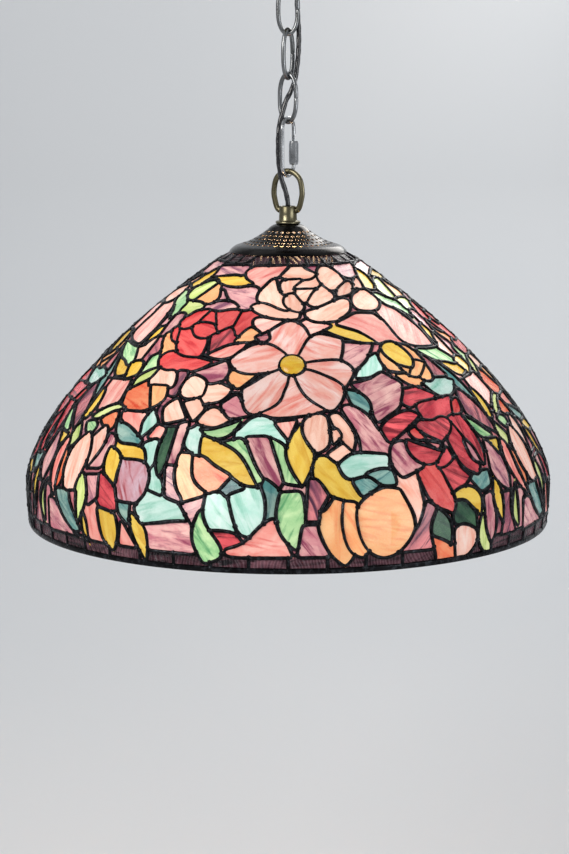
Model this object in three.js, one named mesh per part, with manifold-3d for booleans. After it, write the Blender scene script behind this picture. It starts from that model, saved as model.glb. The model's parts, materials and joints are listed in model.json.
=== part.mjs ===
// Leaded-glass pendant lamp on a chain, as an assembly of separate pieces.
// Millimetres, +Z up. The origin is the middle of the ceiling face, so every height is below zero.
import * as THREE from 'three';
import { mergeVertices } from 'three/addons/utils/BufferGeometryUtils.js';
import Module from 'manifold-3d';

const wasm = await Module();
wasm.setup();

// ---- driving dimensions -------------------------------------------------------------------
const GAP = 0.3; // between pieces that touch

const SHADE_DIAMETER = 507.1; // at its widest
const SHADE_HEIGHT = 262.6; // rim to the top edge
const SHADE_TOP_RADIUS = 54;
const SHADE_WALL = 4; // glass with the lead came
const WIDEST_HEIGHT = 41; // of the widest place, above the rim
const SHOULDER_RADIUS_SHARE = 0.784; // upper curve handle, as a share of the widest radius
const SHOULDER_HEIGHT_SHARE = 0.628; // and of the height
const SIDE_HEIGHT_SHARE = 0.293; // lower curve handle
const RIM_TUCK = 2.6; // how far the rim curls in
const SHADE_SECTIONS = 3;
const SHADE_FACETS = 48;
const UPPER_BORDER = 14.5; // slant width of the glass band at the top
const LOWER_BORDER = 20; // and of the band at the rim
const RIM_WIRE = 3.6;
const JEWEL_RADIUS = 11.2;
const JEWEL_SLANT = 143.6; // distance down the slant to the jewel's centre
const JEWEL_TURN = 1.3; // degrees round from the middle of its section

const CANOPY_RADIUS = 62.5;
const CANOPY_HEIGHT = 26;
const CANOPY_WALL = 1.2;
const CROSSBAR_LENGTH = 104;
const CROSSBAR_WIDTH = 16;
const CROSSBAR_THICKNESS = 3;
const SCREW_SPACING = 80;
const SCREW_RADIUS = 1.9;

const NIPPLE_RADIUS = 4.9;
const NIPPLE_BORE = 3.4;
const NUT_ACROSS_FLATS = 14;
const NUT_HEIGHT = 4;

const LOOP_WIRE = 4.3;
const LOOP_RADIUS = 9.9; // to the middle of its wire
const LINK_COUNT = 3;
const LINK_WIRE = 4.3;
const LINK_LENGTH = 50.5;
const LINK_WIDTH = 23;
const LINK_TURNS = [0, 62, -34]; // how each link is turned about the vertical, in degrees
const QUICK_WIRE = 3.6;
const QUICK_LENGTH = 58.9;
const QUICK_WIDTH = 25.4;
const QUICK_TURN = 60;
const SLEEVE_LENGTH = 22.6;
const SLEEVE_ACROSS_FLATS = 8;
const SLEEVE_TRAVEL = 12;
const RING_WIRE = 4.8;
const RING_WIDTH = 34.6;
const RING_DROP = 37.4; // from the top of its middle line to its pivot
const RING_TURN = -25;

const COLLAR_RADIUS = 8.4;
const COLLAR_HEIGHT = 16.7;
const COLLAR_ABOVE_PIVOT = 4.1;
const FLANGE_RADIUS = 12;
const CAP_LAP = 2.6; // how far the cap's edge stands outside the shade's top edge
const CAP_HEIGHT = 26.3;
const CAP_WALL = 1.2;
const CAP_CLEARANCE = 0.03; // between the flats inside the cap's edge and the shade's curve
const VENT_ROWS = 3;
const VENTS_PER_ROW = 16;
const VENT_RADIUS = 1.7;

const CORD_DIAMETER = 5;
const CORD_HOLE = [13, 10]; // where the cord leaves the canopy
const LIGHTS = 3;
const ARM_TILT = 35; // degrees below level
const CLUSTER_RADIUS = 22;
const CLUSTER_HEIGHT = 28;
const SOCKET_RADIUS = 16;
const BULB_RADIUS = 30;
const BULB_BASE_RADIUS = 13.2;

const ROUND = 12; // facets of small round parts
const LIGHT_FACETS = 12;
const ROUND_WIDE = 18;
const WIDE_FACETS = 28;
const WIRE_SIDES = 8;

// ---- finishes -----------------------------------------------------------------------------
const finish = (color, roughness, metalness, extra = {}) =>
  new THREE.MeshStandardMaterial({ color, roughness, metalness, ...extra });

const FINISHES = {
  steel: finish(0x9a9a98, 0.4, 1),
  nickel: finish(0xc9cdd0, 0.25, 1),
  pewter: finish(0x6d7078, 0.35, 1),
  brass: finish(0x8a7a4e, 0.4, 1),
  bronze: finish(0x2a2422, 0.35, 0.8),
  lead: finish(0x33312f, 0.45, 0.9),
  fieldGlass: finish(0xc77b78, 0.3, 0),
  borderGlass: finish(0x45202c, 0.25, 0),
  jewelGlass: finish(0xe8a51c, 0.15, 0),
  bulbGlass: finish(0xf6efe0, 0.3, 0),
  flex: finish(0x1c1d22, 0.4, 0),
  black: finish(0x18181a, 0.5, 0),
  porcelain: finish(0xe9e5da, 0.35, 0),
};

// ---- shape helpers ------------------------------------------------------------------------
const radians = (degrees) => (degrees * Math.PI) / 180;

function solid(geometry) {
  const bare = geometry.clone();
  bare.deleteAttribute('normal');
  bare.deleteAttribute('uv');
  const merged = mergeVertices(bare, 1e-4);
  return new wasm.Manifold(
    new wasm.Mesh({
      numProp: 3,
      vertProperties: new Float32Array(merged.attributes.position.array),
      triVerts: new Uint32Array(merged.index.array),
    }),
  );
}

function shaped(manifold) {
  const mesh = manifold.getMesh();
  const geometry = new THREE.BufferGeometry();
  geometry.setAttribute('position', new THREE.BufferAttribute(mesh.vertProperties, 3));
  geometry.setIndex(new THREE.BufferAttribute(mesh.triVerts, 1));
  return geometry;
}

const cut = (geometry, ...tools) =>
  shaped(tools.reduce((body, tool) => body.subtract(solid(tool)), solid(geometry)));

// Turns a closed outline of [radius, height] pairs, listed either way round, about the Z axis.
function turned(outline, facets = ROUND) {
  const points = outline.map(([r, z]) => new THREE.Vector2(r, z));
  if (THREE.ShapeUtils.area(points) < 0) points.reverse();
  const onAxis = points[0].x === 0 && points[points.length - 1].x === 0;
  if (!onAxis) points.push(points[0].clone());
  return new THREE.LatheGeometry(points, facets).rotateX(Math.PI / 2);
}

function cylinder(radius, bottom, top, facets = ROUND) {
  return new THREE.CylinderGeometry(radius, radius, top - bottom, facets)
    .rotateX(Math.PI / 2)
    .translate(0, 0, (top + bottom) / 2);
}

const tube = (outer, inner, bottom, top, facets = ROUND) =>
  turned([[inner, bottom], [outer, bottom], [outer, top], [inner, top]], facets);

function hexNut(acrossFlats, bore, bottom, top) {
  const corner = acrossFlats / 2 / Math.cos(Math.PI / 6);
  const outline = new THREE.Shape();
  for (let i = 0; i < 6; i += 1) {
    const turn = (i * Math.PI) / 3;
    const place = [corner * Math.cos(turn), corner * Math.sin(turn)];
    if (i === 0) outline.moveTo(...place);
    else outline.lineTo(...place);
  }
  outline.holes.push(new THREE.Path().absarc(0, 0, bore, 0, 2 * Math.PI, true));
  return new THREE.ExtrudeGeometry(outline, {
    depth: top - bottom,
    bevelEnabled: false,
    curveSegments: 6,
  }).translate(0, 0, bottom);
}

// Sweeps a round section along a curve.
function wireAlong(curve, diameter, steps, sides = WIRE_SIDES) {
  const section = new THREE.Shape();
  for (let i = 0; i < sides; i += 1) {
    const turn = (2 * Math.PI * i) / sides;
    const place = [(diameter / 2) * Math.cos(turn), (diameter / 2) * Math.sin(turn)];
    if (i === 0) section.moveTo(...place);
    else section.lineTo(...place);
  }
  return new THREE.ExtrudeGeometry(section, { steps, bevelEnabled: false, extrudePath: curve });
}

// A straight-sided oval of wire in the XZ plane, open between two heights on its +X leg.
class OvalWire extends THREE.Curve {
  constructor(width, length, wire, gapLow, gapHigh) {
    super();
    this.bend = (width - wire) / 2;
    this.leg = length - wire - 2 * this.bend; // straight part of a leg
    this.start = gapLow;
    const around = 2 * this.leg + 2 * Math.PI * this.bend;
    this.run = around - (gapHigh - gapLow);
  }

  // The middle of the bottom wire is at height 0. The way goes down the +X leg and round.
  getPoint(t, target = new THREE.Vector3()) {
    const { bend, leg } = this;
    const arc = Math.PI * bend;
    let along = t * this.run;
    const firstStretch = this.start - bend;
    if (along <= firstStretch) return target.set(bend, 0, this.start - along);
    along -= firstStretch;
    if (along <= arc) {
      const turn = along / bend;
      return target.set(bend * Math.cos(turn), 0, bend - bend * Math.sin(turn));
    }
    along -= arc;
    if (along <= leg) return target.set(-bend, 0, bend + along);
    along -= leg;
    if (along <= arc) {
      const turn = along / bend;
      return target.set(-bend * Math.cos(turn), 0, bend + leg + bend * Math.sin(turn));
    }
    along -= arc;
    return target.set(bend, 0, bend + leg - along);
  }
}

const lamp = new THREE.Group();

function add(name, geometry, material, parent = lamp) {
  const mesh = new THREE.Mesh(geometry, material);
  mesh.name = name;
  parent.add(mesh);
  return mesh;
}

function turnedGroup(degrees) {
  const group = new THREE.Group();
  group.rotation.z = radians(degrees);
  lamp.add(group);
  return group;
}

// ---- the shade's outline, from its top edge down to the rim, as [radius, height over the rim]
const widest = SHADE_DIAMETER / 2;
const at = (r, z) => new THREE.Vector2(r, z);
const outline = new THREE.CurvePath();
outline.add(new THREE.CubicBezierCurve(
  at(SHADE_TOP_RADIUS, SHADE_HEIGHT),
  at(widest * SHOULDER_RADIUS_SHARE, SHADE_HEIGHT * SHOULDER_HEIGHT_SHARE),
  at(widest, SHADE_HEIGHT * SIDE_HEIGHT_SHARE),
  at(widest, WIDEST_HEIGHT)));
outline.add(new THREE.QuadraticBezierCurve(
  at(widest, WIDEST_HEIGHT), at(widest, WIDEST_HEIGHT * 0.45), at(widest - RIM_TUCK, 0)));
outline.arcLengthDivisions = 400;
const slantLength = outline.getLength();

// The cap's edge comes down over the shade to where the curve just clears the cap's inside.
const capRadius = SHADE_TOP_RADIUS + CAP_LAP;
const capInside = (capRadius - CAP_WALL) * Math.cos(Math.PI / WIDE_FACETS) - CAP_CLEARANCE;
let capEdgeShare = 0;
while (outline.getPointAt(capEdgeShare).x < capInside) capEdgeShare += 0.0002;
const capOverShade = SHADE_HEIGHT - outline.getPointAt(capEdgeShare).y;

// ---- heights that follow from the hanging order -------------------------------------------
const loopWireZ = -(CANOPY_HEIGHT + 14.3 + LOOP_RADIUS - 0.05);
const linkTops = [];
let hangZ = loopWireZ + (LOOP_WIRE + LINK_WIRE) / 2 + GAP;
for (let i = 0; i < LINK_COUNT; i += 1) {
  linkTops.push(hangZ);
  hangZ += -(LINK_LENGTH - LINK_WIRE) + LINK_WIRE + GAP;
}
const lastLinkBottom = linkTops[LINK_COUNT - 1] - (LINK_LENGTH - LINK_WIRE);
const quickTop = lastLinkBottom + (LINK_WIRE + QUICK_WIRE) / 2 + GAP;
const quickBottom = quickTop - (QUICK_LENGTH - QUICK_WIRE);
const ringTop = quickBottom + (QUICK_WIRE + RING_WIRE) / 2 + GAP;
const pivotZ = ringTop - RING_DROP;
const collarTop = pivotZ + COLLAR_ABOVE_PIVOT;
const collarBottom = collarTop - COLLAR_HEIGHT;
const capTop = collarBottom - GAP;
const capBottom = capTop - CAP_HEIGHT;
const shadeTop = capBottom + capOverShade;
const rimZ = shadeTop - SHADE_HEIGHT;

// ---- ceiling fitting ----------------------------------------------------------------------
function crossbar() {
  const bar = new THREE.BoxGeometry(CROSSBAR_LENGTH, CROSSBAR_WIDTH, CROSSBAR_THICKNESS)
    .translate(0, 0, -CROSSBAR_THICKNESS / 2);
  const tools = [-1, 1].flatMap((side) => [
    cylinder(SCREW_RADIUS + GAP, -CROSSBAR_THICKNESS - 1, 1).translate((side * SCREW_SPACING) / 2, 0, 0),
    new THREE.BoxGeometry(CROSSBAR_LENGTH * 0.14, 4.5, CROSSBAR_THICKNESS + 2)
      .translate(side * SCREW_SPACING * 0.26, 0, -CROSSBAR_THICKNESS / 2),
  ]);
  return cut(bar, ...tools);
}

// The canopy's outer outline as [share of the radius, share of the height].
const CANOPY_OUTLINE = [[1, 0], [0.975, 0.32], [0.8, 0.62], [0.54, 0.83], [0.32, 0.95], [0.2, 1]];

function canopyPoint([radiusShare, heightShare], inset) {
  const z = -GAP - (CANOPY_HEIGHT - GAP) * heightShare;
  return [CANOPY_RADIUS * radiusShare - inset * (1 - heightShare), z + inset * heightShare];
}

function canopyShell() {
  const outer = CANOPY_OUTLINE.map((share) => canopyPoint(share, 0));
  const inner = CANOPY_OUTLINE.map((share) => canopyPoint(share, CANOPY_WALL)).reverse();
  const bore = NIPPLE_RADIUS + GAP;
  const floor = [[bore, -CANOPY_HEIGHT], [bore, -CANOPY_HEIGHT + CANOPY_WALL]];
  const shell = turned([...outer, ...floor, ...inner], WIDE_FACETS);
  const holes = [-1, 1].map((side) =>
    cylinder(SCREW_RADIUS + GAP, -CANOPY_HEIGHT - 2, -2).translate((side * SCREW_SPACING) / 2, 0, 0));
  const cordHole = cylinder(GROMMET_NECK + GAP, -CANOPY_HEIGHT - 2, -2)
    .translate(CORD_HOLE[0], CORD_HOLE[1], 0);
  return cut(shell, ...holes, cordHole);
}

const GROMMET_NECK = 3.9;
const CORD_BORE = CORD_DIAMETER / 2 + GAP;
const grommetLip = -CANOPY_HEIGHT - 0.6;

add('ceiling_crossbar', crossbar(), FINISHES.steel);
add('canopy_shell', canopyShell(), FINISHES.brass);
const grommet = turned([
  [CORD_BORE, grommetLip - 1.8], [4.8, grommetLip - 1.8], [5.6, grommetLip], [GROMMET_NECK, grommetLip],
  [GROMMET_NECK, grommetLip + 4.2], [5.2, grommetLip + 4.2], [5.2, grommetLip + 5.8],
  [CORD_BORE, grommetLip + 5.8],
]);
add('cord_grommet', grommet.translate(CORD_HOLE[0], CORD_HOLE[1], 0), FINISHES.black);

// The canopy shell is at this height where the cap nuts press on it.
const canopyAtScrew = -CANOPY_HEIGHT * 0.8;
for (const [index, side] of [-1, 1].entries()) {
  const x = (side * SCREW_SPACING) / 2;
  const number = index + 1;
  const screwEnd = canopyAtScrew - 6.8;
  const screw = cylinder(SCREW_RADIUS, screwEnd, -GAP).translate(x, 0, 0);
  add(`canopy_screw_${number}`, screw, FINISHES.steel);
  const lockTop = -CROSSBAR_THICKNESS - GAP;
  const lock = hexNut(7, SCREW_RADIUS + GAP, lockTop - 3, lockTop).translate(x, 0, 0);
  add(`screw_lock_nut_${number}`, lock, FINISHES.steel);
  const top = canopyAtScrew - 0.9;
  const bore = SCREW_RADIUS + GAP;
  const acorn = turned([
    [0, top - 9.6], [2.8, top - 8.8], [4.6, top - 6.4], [5, top - 3.4], [5, top], [bore, top],
    [bore, screwEnd - GAP], [0, screwEnd - GAP],
  ]);
  add(`canopy_cap_nut_${number}`, acorn.translate(x, 0, 0), FINISHES.brass);
}

const nippleTop = -CROSSBAR_THICKNESS - 1;
const loopTop = -CANOPY_HEIGHT - GAP;
add('canopy_nipple', tube(NIPPLE_RADIUS, NIPPLE_BORE, loopTop - 1.5, nippleTop), FINISHES.steel);
const lockNutZ = -CANOPY_HEIGHT + CANOPY_WALL + GAP;
add('canopy_lock_nut', hexNut(NUT_ACROSS_FLATS, NIPPLE_RADIUS + GAP, lockNutZ, lockNutZ + NUT_HEIGHT),
  FINISHES.steel);

function canopyLoop() {
  const ring = new THREE.TorusGeometry(LOOP_RADIUS, LOOP_WIRE / 2, WIRE_SIDES, 24)
    .rotateY(Math.PI / 2)
    .translate(0, 0, loopWireZ + LOOP_RADIUS);
  const hub = turned([
    [0, loopTop - 7.4], [5.5, loopTop - 7.4], [7.4, loopTop - 5.6], [8, loopTop - 2], [8, loopTop],
    [0, loopTop],
  ]);
  const joined = solid(ring).add(solid(hub));
  return shaped(joined.subtract(solid(cylinder(NIPPLE_RADIUS + GAP, loopTop - 1.8, loopTop + 1))));
}
add('canopy_loop', canopyLoop(), FINISHES.brass);

const BLOCK = { width: 28, depth: 13, height: 11, centre: [15, 22, -9.6] };
function terminalBlock() {
  const body = new THREE.BoxGeometry(BLOCK.width, BLOCK.depth, BLOCK.height);
  const grooves = [-1, 1].map((side) =>
    new THREE.BoxGeometry(1.6, BLOCK.depth + 2, 3)
      .translate((side * BLOCK.width) / 6, 0, -BLOCK.height / 2));
  return cut(body, ...grooves).translate(...BLOCK.centre);
}
add('terminal_block', terminalBlock(), FINISHES.porcelain);

// ---- chain, quick link and ring -----------------------------------------------------------
const linkMiddle = (LINK_LENGTH - LINK_WIRE) / 2;
for (let i = 0; i < LINK_COUNT; i += 1) {
  const bottom = linkTops[i] - (LINK_LENGTH - LINK_WIRE);
  const seam = new OvalWire(LINK_WIDTH, LINK_LENGTH, LINK_WIRE, linkMiddle - GAP, linkMiddle + GAP);
  const link = wireAlong(seam, LINK_WIRE, 30).translate(0, 0, bottom);
  add(`chain_link_${i + 1}`, link, FINISHES.pewter, turnedGroup(LINK_TURNS[i]));
}

const quickBend = (QUICK_WIDTH - QUICK_WIRE) / 2;
const sleeveBottom = quickBend - 0.5; // above the middle of the bottom wire
const quickGapLow = sleeveBottom + 4.5;
const quickGapHigh = sleeveBottom + SLEEVE_TRAVEL + 3;
const quickGroup = turnedGroup(QUICK_TURN);
const quickPath = new OvalWire(QUICK_WIDTH, QUICK_LENGTH, QUICK_WIRE, quickGapLow, quickGapHigh);
const quickBody = wireAlong(quickPath, QUICK_WIRE, 34).translate(0, 0, quickBottom);
add('quick_link_body', quickBody, FINISHES.nickel, quickGroup);
const sleeve = hexNut(SLEEVE_ACROSS_FLATS, QUICK_WIRE / 2 + GAP, 0, SLEEVE_LENGTH);
add('quick_link_sleeve', sleeve.translate(quickBend, 0, quickBottom + sleeveBottom), FINISHES.nickel,
  quickGroup);

// Half of the ring's middle line, from its end inside the collar up to the top.
const ringHalf = (RING_WIDTH - RING_WIRE) / 2;
const ringSide = [
  [4.3, 0], [COLLAR_RADIUS + 0.8, 0.1], [COLLAR_RADIUS + 3.4, 3], [ringHalf * 0.92, RING_DROP * 0.25],
  [ringHalf, RING_DROP * 0.47], [ringHalf * 0.85, RING_DROP * 0.78], [ringHalf * 0.47, RING_DROP * 0.95],
];
const ringPoints = [
  ...ringSide.map(([x, z]) => new THREE.Vector3(x, 0, pivotZ + z)),
  new THREE.Vector3(0, 0, ringTop),
  ...ringSide.map(([x, z]) => new THREE.Vector3(-x, 0, pivotZ + z)).reverse(),
];
const ringCurve = new THREE.CatmullRomCurve3(ringPoints, false, 'centripetal');
const ringGroup = turnedGroup(RING_TURN);
add('bail_ring', wireAlong(ringCurve, RING_WIRE, 34), FINISHES.brass, ringGroup);

function collar() {
  const bore = NIPPLE_RADIUS + GAP;
  const cupFloor = collarBottom + 7;
  const body = turned([
    [bore, collarBottom], [FLANGE_RADIUS - 0.8, collarBottom], [FLANGE_RADIUS, collarBottom + 1.2],
    [FLANGE_RADIUS - 0.8, collarBottom + 2.6], [COLLAR_RADIUS + 0.8, collarBottom + 3.3],
    [COLLAR_RADIUS + 0.2, collarBottom + 9.5], [COLLAR_RADIUS, collarTop],
    [COLLAR_RADIUS - 2, collarTop], [COLLAR_RADIUS - 2.2, cupFloor], [bore, cupFloor],
  ], ROUND_WIDE);
  const pivotHole = cylinder(RING_WIRE / 2 + 0.5, -2 * COLLAR_RADIUS, 2 * COLLAR_RADIUS)
    .rotateY(Math.PI / 2)
    .translate(0, 0, pivotZ);
  return cut(body, pivotHole);
}
add('collar', collar(), FINISHES.brass, ringGroup);

// ---- the cord -----------------------------------------------------------------------------
// Its route down the chain, chosen by hand, from the canopy to the inside of the collar.
const CORD_ROUTE = [
  [13, 10, -20], [13, 10, -27], [12.2, 9.8, -36], [10, 8.6, -48], [8.7, 7.4, -60], [9.4, 6.6, -76],
  [10.3, 6, -93], [9.6, 4.2, -112.5], [7.8, 3.7, -128], [6.3, 3, -136.5], [2.3, 1, -146.5],
  [-2.1, -1, -155], [-5.2, -2.2, -166], [-7.9, -2.4, -176], [-9.1, -2.9, -188], [-9.3, -3, -201.3],
  [-8.6, -3, -215.5], [-6.4, -3.2, -228], [-2.4, -1.8, -240.5], [-0.4, -0.3, -250], [0, 0, -258],
  [0, 0, -271],
];
// Each stretch crosses one joint of the chain, and its two ends are at these heights.
const CORD_CUTS = [-20, -69, -110.5, -151.9, -198.4, -238.5, -271];
const cordCurve = new THREE.CatmullRomCurve3(
  CORD_ROUTE.map(([x, y, z]) => new THREE.Vector3(x, y, z)), false, 'centripetal');

class CordStretch extends THREE.Curve {
  constructor(top, bottom) {
    super();
    this.from = CordStretch.shareAt(top);
    this.to = CordStretch.shareAt(bottom);
  }

  // The cord always goes down, so a height names one place on it.
  static shareAt(z) {
    let low = 0;
    let high = 1;
    for (let i = 0; i < 40; i += 1) {
      const middle = (low + high) / 2;
      if (cordCurve.getPoint(middle).z > z) low = middle;
      else high = middle;
    }
    return (low + high) / 2;
  }

  getPoint(t, target = new THREE.Vector3()) {
    return cordCurve.getPoint(this.from + (this.to - this.from) * t, target);
  }
}

const END_GAP = GAP / 2;
for (let i = 0; i + 1 < CORD_CUTS.length; i += 1) {
  const stretch = new CordStretch(CORD_CUTS[i] - END_GAP, CORD_CUTS[i + 1] + END_GAP);
  add(`power_cord_${i + 1}`, wireAlong(stretch, CORD_DIAMETER, 5), FINISHES.flex);
}

const leadEnd = BLOCK.centre[1] - BLOCK.depth / 2 - GAP - 0.2;
const leadPath = new THREE.CatmullRomCurve3([
  new THREE.Vector3(CORD_HOLE[0], CORD_HOLE[1], -19.6),
  new THREE.Vector3(CORD_HOLE[0], CORD_HOLE[1], -15.5),
  new THREE.Vector3(CORD_HOLE[0], leadEnd - 3.6, -11.4),
  new THREE.Vector3(CORD_HOLE[0], leadEnd - 1.2, -10.2),
  new THREE.Vector3(CORD_HOLE[0], leadEnd, -10.2),
]);
add('supply_lead', wireAlong(leadPath, CORD_DIAMETER, 6), FINISHES.flex);

// ---- vented cap and what carries the shade ------------------------------------------------
// The cap's outer outline as [share of the radius, share of the height].
const capAt = (radiusShare, heightShare) => [capRadius * radiusShare, capTop - CAP_HEIGHT * heightShare];
const CAP_OUTLINE = [
  capAt(0.203, 0), capAt(0.38, 0.255), capAt(0.673, 0.63), capAt(0.893, 0.79), capAt(0.965, 0.9), capAt(1, 1),
];
const VENT_SHARES = [0.42, 0.51, 0.6]; // distance of each row from the axis, as a share of the radius

function ventedCap() {
  const bore = NIPPLE_RADIUS + GAP + 0.1;
  const inner = CAP_OUTLINE.map(([r, z], i) => {
    const last = i === CAP_OUTLINE.length - 1;
    return [r - CAP_WALL * (last ? 0.9 : 0.45), last ? z : z - CAP_WALL];
  });
  const shell = turned([[bore, capTop], ...CAP_OUTLINE, ...inner.reverse(), [bore, capTop - CAP_WALL]], WIDE_FACETS);
  const vents = [];
  for (let row = 0; row < VENT_ROWS; row += 1) {
    for (let i = 0; i < VENTS_PER_ROW; i += 1) {
      const turn = ((i + (row % 2) / 2) * 2 * Math.PI) / VENTS_PER_ROW;
      const r = capRadius * VENT_SHARES[row];
      vents.push(solid(cylinder(VENT_RADIUS, capBottom, capTop, 5)
        .translate(r * Math.cos(turn), r * Math.sin(turn), 0)));
    }
  }
  return shaped(solid(shell).subtract(wasm.Manifold.union(vents)));
}
add('vented_cap', ventedCap(), FINISHES.bronze);

const clusterTop = shadeTop - 40.3;
const nippleEnd = clusterTop - 12;
const nippleStart = collarBottom + 6.7;
add('centre_nipple', tube(NIPPLE_RADIUS, NIPPLE_BORE, nippleEnd, nippleStart), FINISHES.steel);
const capNutTop = capTop - CAP_WALL - GAP;
const nut = (top) => hexNut(NUT_ACROSS_FLATS, NIPPLE_RADIUS + GAP, top - NUT_HEIGHT, top);
add('cap_lock_nut', nut(capNutTop), FINISHES.steel);

const CARRIER_TOP = shadeTop - 6.4;
const CARRIER_THICKNESS = 2.5;
const TOP_RING_WIDTH = 3;
const topRingOuter = SHADE_TOP_RADIUS - 2.8;
function shadeSpider() {
  const bottom = CARRIER_TOP - CARRIER_THICKNESS;
  const disc = tube(topRingOuter - 0.4, NIPPLE_RADIUS + GAP, bottom, CARRIER_TOP, WIDE_FACETS);
  const windows = [0, 1, 2].map((i) => {
    const reach = new THREE.Shape();
    const start = radians(120 * i + 30 + 9);
    const end = radians(120 * i + 150 - 9);
    reach.absarc(0, 0, topRingOuter - 8, start, end, false);
    reach.absarc(0, 0, 13, end - radians(12), start + radians(12), true);
    return new THREE.ExtrudeGeometry(reach, { depth: 10, bevelEnabled: false, curveSegments: 4 })
      .translate(0, 0, bottom - 4);
  });
  return cut(disc, ...windows);
}
add('shade_spider', shadeSpider(), FINISHES.steel);
add('spider_lock_nut', nut(CARRIER_TOP - CARRIER_THICKNESS - GAP), FINISHES.steel);
add('shade_top_ring',
  tube(topRingOuter, topRingOuter - TOP_RING_WIDTH, CARRIER_TOP + GAP, shadeTop - 0.2, WIDE_FACETS),
  FINISHES.brass);

// ---- leaded-glass shade -------------------------------------------------------------------
function outlineAt(slant, depth = 0) {
  const share = Math.min(Math.max(slant / slantLength, 0), 1);
  const point = outline.getPointAt(share);
  const way = outline.getTangentAt(share);
  return [point.x + way.y * depth, rimZ + point.y - way.x * depth];
}

// A band of the shade between two distances down the slant.
function band(from, to, steps) {
  const stops = Array.from({ length: steps + 1 }, (_, i) => from + ((to - from) * i) / steps);
  return turned([
    ...stops.map((slant) => outlineAt(slant)),
    ...stops.map((slant) => outlineAt(slant, SHADE_WALL)).reverse(),
  ], SHADE_FACETS);
}

// A wedge that keeps one section of the shade, a half gap clear of its neighbours.
function sectionWedge(middle) {
  const half = Math.PI / SHADE_SECTIONS;
  const apex = END_GAP / Math.sin(half);
  const reach = 4 * widest;
  const place = (turn, far) => [
    Math.cos(middle) * apex + far * Math.cos(turn), Math.sin(middle) * apex + far * Math.sin(turn),
  ];
  const wedge = new THREE.Shape();
  wedge.moveTo(...place(0, 0));
  wedge.lineTo(...place(middle - half, reach));
  wedge.lineTo(...place(middle, reach));
  wedge.lineTo(...place(middle + half, reach));
  return new THREE.ExtrudeGeometry(wedge, { depth: SHADE_HEIGHT + 20, bevelEnabled: false })
    .translate(0, 0, rimZ - 10);
}

// Puts a shape made about Z at the jewel's place, square to the glass.
function atJewel(geometry, middle) {
  const [r, z] = outlineAt(JEWEL_SLANT);
  const [innerR, innerZ] = outlineAt(JEWEL_SLANT, SHADE_WALL);
  const lean = Math.atan2(r - innerR, z - innerZ);
  return geometry.rotateY(lean).translate(r, 0, z).rotateZ(middle);
}

const fieldStart = UPPER_BORDER + GAP;
const glassEnd = slantLength - RIM_WIRE - GAP - 0.2;
const fieldEnd = glassEnd - LOWER_BORDER - GAP;
add('upper_border_band', band(0, UPPER_BORDER, 2), FINISHES.borderGlass);
const field = solid(band(fieldStart, fieldEnd, 8));
for (let i = 0; i < SHADE_SECTIONS; i += 1) {
  const middle = -Math.PI / 2 + (i * 2 * Math.PI) / SHADE_SECTIONS;
  const jewelMiddle = middle + radians(JEWEL_TURN);
  const hole = atJewel(cylinder(JEWEL_RADIUS + GAP, -9, 9), jewelMiddle);
  const section = field.intersect(solid(sectionWedge(middle))).subtract(solid(hole));
  add(`shade_section_${i + 1}`, shaped(section), FINISHES.fieldGlass);
  const jewel = turned([
    [0, -2.5], [JEWEL_RADIUS, -2.5], [JEWEL_RADIUS, 0.3], [JEWEL_RADIUS * 0.8, 2.4],
    [JEWEL_RADIUS * 0.45, 3.9], [0, 4.4],
  ]);
  add(`flower_jewel_${i + 1}`, atJewel(jewel, jewelMiddle), FINISHES.jewelGlass);
}
add('lower_border_band', band(glassEnd - LOWER_BORDER, glassEnd, 2), FINISHES.borderGlass);
const rimWire = new THREE.TorusGeometry(widest - RIM_TUCK - RIM_WIRE / 2, RIM_WIRE / 2, 6, SHADE_FACETS)
  .translate(0, 0, rimZ + RIM_WIRE / 2);
add('rim_wire', rimWire, FINISHES.lead);

// ---- lamp cluster -------------------------------------------------------------------------
const clusterBodyTop = clusterTop - 2.3;
const clusterFloor = clusterBodyTop - CLUSTER_HEIGHT;
const armZ = clusterTop; // the arms' axes meet the lamp's axis here
const wall = 1.5;

function clusterCover() {
  const bore = NIPPLE_RADIUS + GAP;
  return turned([
    [bore, clusterBodyTop + GAP], [CLUSTER_RADIUS + 0.6, clusterBodyTop + GAP],
    [CLUSTER_RADIUS, clusterBodyTop + 1.4], [bore + 4, clusterTop], [bore, clusterTop],
  ], ROUND_WIDE);
}
add('cluster_cover', clusterCover(), FINISHES.bronze);

const FINIAL_STEM = 3;
function clusterBody() {
  const bore = FINIAL_STEM + GAP;
  const body = turned([
    [bore, clusterFloor], [CLUSTER_RADIUS - 3, clusterFloor], [CLUSTER_RADIUS, clusterFloor + 4],
    [CLUSTER_RADIUS, clusterBodyTop], [CLUSTER_RADIUS - wall, clusterBodyTop],
    [CLUSTER_RADIUS - wall, clusterFloor + 4.4], [CLUSTER_RADIUS - 3.6, clusterFloor + wall],
    [bore, clusterFloor + wall],
  ], ROUND_WIDE);
  const arms = Array.from({ length: LIGHTS }, (_, i) => onArm(cylinder(HUSK_NECK + GAP, 12, 40), i));
  return cut(body, ...arms);
}

const HUSK_NECK = 5.3;
// Puts a shape made along Z on arm number i, which points outwards and down.
function onArm(geometry, i) {
  return geometry
    .rotateY(Math.PI / 2 + radians(ARM_TILT))
    .rotateZ(Math.PI / 2 + (i * 2 * Math.PI) / LIGHTS)
    .translate(0, 0, armZ);
}
add('cluster_body', clusterBody(), FINISHES.bronze);
add('cluster_lock_nut', nut(clusterBodyTop - GAP), FINISHES.steel);
add('cluster_finial', turned([
  [0, clusterFloor - 13], [3.4, clusterFloor - 12], [6.4, clusterFloor - 8.6], [7, clusterFloor - 5],
  [4.6, clusterFloor - 1.6], [4.6, clusterFloor - GAP], [FINIAL_STEM, clusterFloor - GAP],
  [FINIAL_STEM, clusterFloor + 7], [0, clusterFloor + 7],
]), FINISHES.brass);

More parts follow.
